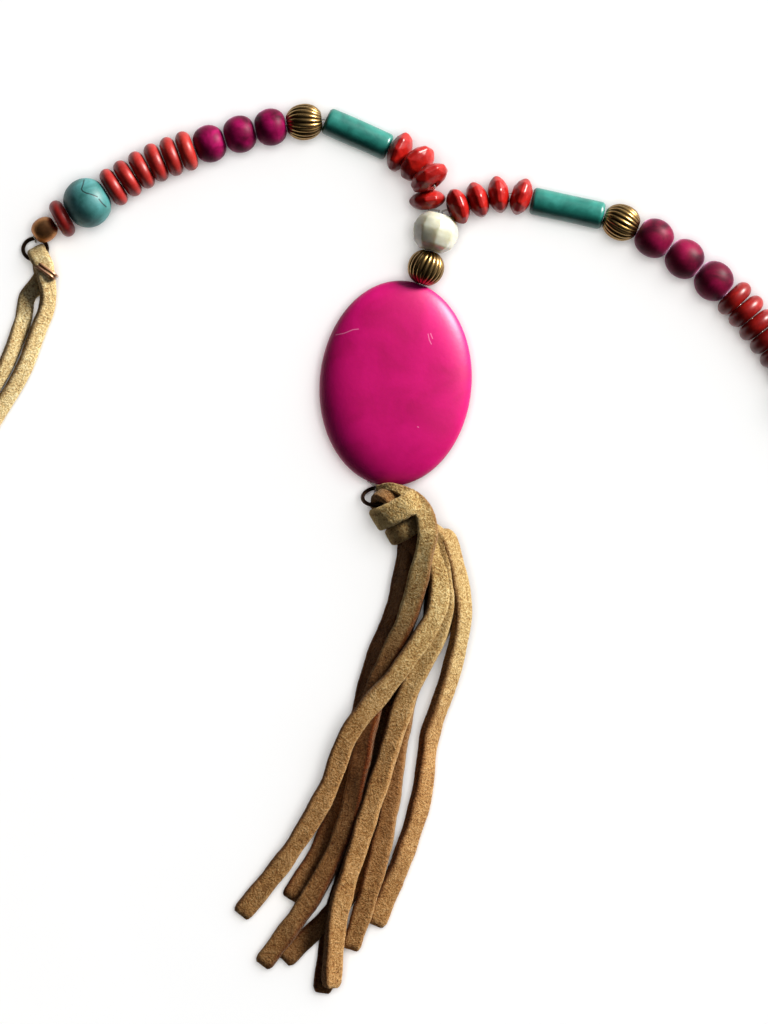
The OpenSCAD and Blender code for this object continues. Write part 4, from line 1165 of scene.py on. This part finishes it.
def strand_rows(end, side, height, turn, soil, seed):
    """The line of a strand, from inside the knot to its loose end."""
    first = side[0] * TASSEL_LEN
    rows = []
    if seed == OVER_THE_KNOT:
        rows = [(*tassel_point(depth, across, z), share, OVER_TURN, 1, OVER_PAINTED_SHADE)
                for depth, across, z, share in OVER_ROWS]
    else:
        for depth, draw, rise in NECK:
            across = NECK_SLOPE * depth + (first - NECK_SLOPE * HEAD_LEN) * draw
            z = NECK_HEIGHT * STRAND_T + (height[0] - NECK_HEIGHT) * STRAND_T * rise
            rows.append((*tassel_point(depth, across, z), NECK_W, turn[0], 1, soil[0]))
    for k in range(7):
        depth = HEAD_LEN + (end * TASSEL_LEN - HEAD_LEN) * k / 6
        rows.append((*tassel_point(depth, side[k] * TASSEL_LEN, height[k] * STRAND_T), 1,
                     np.interp(k / 6, [0, 0.5, 1], turn), 1, np.interp(k / 6, [0, 0.3, 1], soil)))
    rows = curved(rows, 24)
    rng = np.random.default_rng(seed)
    run = run_along(rows)
    for column, rise, size in WANDER:
        wave = sum(np.sin(run * 2 * math.pi / (size * k) + rng.uniform(0, 6.3))
                   for k in (1, 1.7, 0.6))
        rows[:, column] += rise * wave / 2
    tip = np.clip((run[-1] - run) / 1.2, 0, 1)
    rows[:, 3] *= 0.72 + 0.28 * np.sqrt(tip)
    rows[:, 5] *= 0.6 + 0.4 * np.sqrt(tip)
    lean = np.radians(rows[:, 4])
    low = STRAND_W / 2 * np.abs(np.sin(lean)) + STRAND_T / 2 * np.cos(lean) + 0.12
    rows[:, 2] = np.maximum(rows[:, 2], low)
    return rows


tassel_pieces = []
for i, row in enumerate(STRANDS):
    # The last number gives each strand 0.7 of painted shade on its left flank.
    tassel_pieces.append(strip(f"tassel_strand_{i + 1}", strand_rows(*row, 10 + i), STRAND_W,
                               STRAND_T + 0.2, SUEDE, 0.28, 10 + i, 0.6, 0.7))
print("strands:", len(tassel_pieces), "of", len(tassel_pieces[0].data.polygons), "faces")

# %% [markdown]
# The head is bound where the strands leave the ring: a filled core, three turns of the binding
# wound round it, and the loop of suede that goes round the ring's wire.

# %% Tassel head
HEAD_TURN = math.radians(-43)
HEAD_ACROSS = np.array([-math.sin(HEAD_TURN), math.cos(HEAD_TURN), 0])
# depth and side as shares of the head's length, height, half width, half height, in strands'
# thickness
CORE = [(0.17, 0.16, 2.3, 1.1, 1), (0.3, 0.27, 2.15, 1.6, 1.3), (0.55, 0.5, 2.1, 1.9, 1.4),
        (1.05, 0.8, 2, 2, 1.3)]


def core_piece():
    rows = curved([(HEAD_LEN * d, HEAD_LEN * s, STRAND_T * z, STRAND_T * w, STRAND_T * h)
                   for d, s, z, w, h in CORE], 6)
    steps, points = 32, []
    for depth, side, z, half_w, half_h in rows:
        middle = np.array(tassel_point(depth, side, z))
        for a in np.arange(steps) * 2 * math.pi / steps:
            points.append(middle + HEAD_ACROSS * half_w * math.cos(a)
                          + np.array([0, 0, half_h * math.sin(a)]))
    # The core is made dark with painted shade, 0.9, as it lies deep inside the knot.
    return mesh_object("tassel_core", points, skin(len(rows), steps, True), SUEDE,
                       soil=np.full(len(points), 0.9))


tassel_pieces.append(core_piece())
# Turns of the binding, the top one last: width, thickness, painted shade, the way across, then
# depth, side and height from the left edge over the knot
TURNS = [
    (3.4, 4, 0.85, (0.82, 0.57, 0), [(-1.2, -4, 3), (1.4, -2, 3.1), (4.2, 0, 3.1), (6.5, 1.4, 3)]),
    (3.6, 1.9, 0.3, (-0.5, 0.87, 0),
     [(6.3, -0.6, 3.6), (6.2, -0.1, 5.6), (5.4, 1.5, 6.8), (4.4, 3.2, 7), (3.4, 5, 6.4)]),
    (4.7, 1.9, 0, (-0.53, 0.85, 0),
     [(2.9, -3.5, 4.6), (2.8, -3.1, 6.9), (2.2, -1.5, 8.1), (1.1, 0.6, 8.7), (-0.1, 2.8, 8.9),
      (-1.2, 4.6, 8)])]
for i, (wide, thick, soil, across, line) in enumerate(TURNS):
    rows = curved([(*tassel_point(depth, out, z), 1, 0, 1, soil) for depth, out, z in line], 10)
    tassel_pieces.append(strip(f"tassel_band_{i + 1}", rows, wide, thick, SUEDE, 0.35, 30 + i,
                               0.85, 0, across))

LOOP_ROLL = math.radians(-27)
ring_radius = (TASSEL_RING_D - WIRE) / 2
lean = HEAD_TURN - RING_HEADING
loop_middle = TASSEL_RING + ring_radius * math.sin(lean) * RING_ACROSS + ring_radius * math.cos(
    lean) * (RING_WAY * math.cos(TASSEL_RING_TILT) + (0, 0, math.sin(TASSEL_RING_TILT)))
roll = np.array(Matrix.Rotation(HEAD_TURN, 3, "Z") @ Matrix.Rotation(LOOP_ROLL, 3, "X"))
turn_r = WIRE / 2 + 0.75 + STRAND_T / 2
# The loop is made dark with painted shade, 0.8, as its side facing away from the light lies in
# shade.
rows = [(*(np.array([turn_r * math.cos(a), 0, turn_r * math.sin(a)]) @ roll.T + loop_middle),
         1, 0, 1, 0.8) for a in np.radians(np.arange(40, 321, 5))]
tassel_pieces.append(strip("tassel_loop", rows, 3.4, 1.8, SUEDE, 0.3, 40, 0.5, 0,
                           np.array([0, 1.0, 0]) @ roll.T))

for i, piece in enumerate(tassel_pieces):
    place_piece(piece, "tassel" if i == 0 else None)
print("pieces of the tassel:", len(tassel_pieces))

# %% [markdown]
# ## Table and light
# The photo is lit by one strong soft light from the upper right, on a white ground. That ground
# is brighter than the light would make it, so the paper has two lights of its own: a wide one
# without shadows, and a weak one that leaves a faint shadow under the beads.

# %% Table and lights
floor_mesh = bpy.data.meshes.new("table")
floor_mesh.from_pydata([(-2, -2, 0), (2, -2, 0), (2, 2, 0), (-2, 2, 0)], [], [(0, 1, 2, 3)])
floor = new_object("table", floor_mesh)
paper, tree, mm = new_material("white_paper")
fibre = add(tree, "TexNoise", mm, 1 / 40, 2, 0.55)
finish(paper, Base_Color=add(tree, "Mix:RGBA", fibre, "F6F5F2", "F2F1EE"), Roughness=0.9,
       Specular_IOR_Level=0.1)
floor_mesh.materials.append(paper)


def area_light(name, place, aim, size, power, colour=(1, 1, 1)):
    data = bpy.data.lights.new(name, "AREA")
    data.size = size
    data.energy = power
    data.color = colour
    light = new_object(name, data)
    light.location = place
    light.rotation_euler = (Vector(aim) - Vector(place)).to_track_quat("-Z", "Y").to_euler()
    return light


def light_only(light, name, lit=None, left_out=None, blockers=True):
    """Keeps a light to one object or off it, and says if anything may cast its shadow."""
    group = bpy.data.collections.new(name)
    group.objects.link(lit or left_out)
    light.light_linking.receiver_collection = group
    if left_out:
        group.collection_objects[0].light_linking.link_state = "EXCLUDE"
    if not blockers:
        light.light_linking.blocker_collection = bpy.data.collections.new(name + " blockers")


def from_side(turn, height, away):
    turn, height = math.radians(turn), math.radians(height)
    return (AIM[0] * MM + away * math.cos(turn) * math.cos(height),
            AIM[1] * MM + away * math.sin(turn) * math.cos(height), away * math.sin(height))


MIDDLE = (AIM[0] * MM, AIM[1] * MM, 0)
key = area_light("window", from_side(38, 22, 1.1), MIDDLE, size=0.36, power=35,
                 colour=(1, 0.975, 0.93))
light_only(key, "all but the paper", left_out=floor)
wash = area_light("paper wash", (0, 0, 1.5), (0, 0, 0), size=1.2, power=20)
light_only(wash, "paper", lit=floor, blockers=False)
soft = area_light("paper shadow", from_side(38, 62, 1.3), MIDDLE, size=0.9, power=5)
light_only(soft, "paper again", lit=floor)

world = bpy.data.worlds.new("studio")
bpy.context.scene.world = world
world.use_nodes = True
sky = world.node_tree
way = add(sky, "TexCoord", out="Generated")
towards = add(sky, "VectorMath:DOT_PRODUCT", way, (0.74, 0.58, 0.34))
bright = add(sky, "ValToRGB", add(sky, "Math:MULTIPLY_ADD", towards, 0.5, 0.5),
             stops=[(0.3, 0.01), (0.64, 0.05), (0.85, "A8B0C4"), (0.97, "F0F4FF")])
backdrop = sky.nodes["Background"]
sky.links.new(bright, backdrop.inputs["Color"])
backdrop.inputs["Strength"].default_value = 0.75
bpy.context.scene.view_settings.view_transform = "Standard"
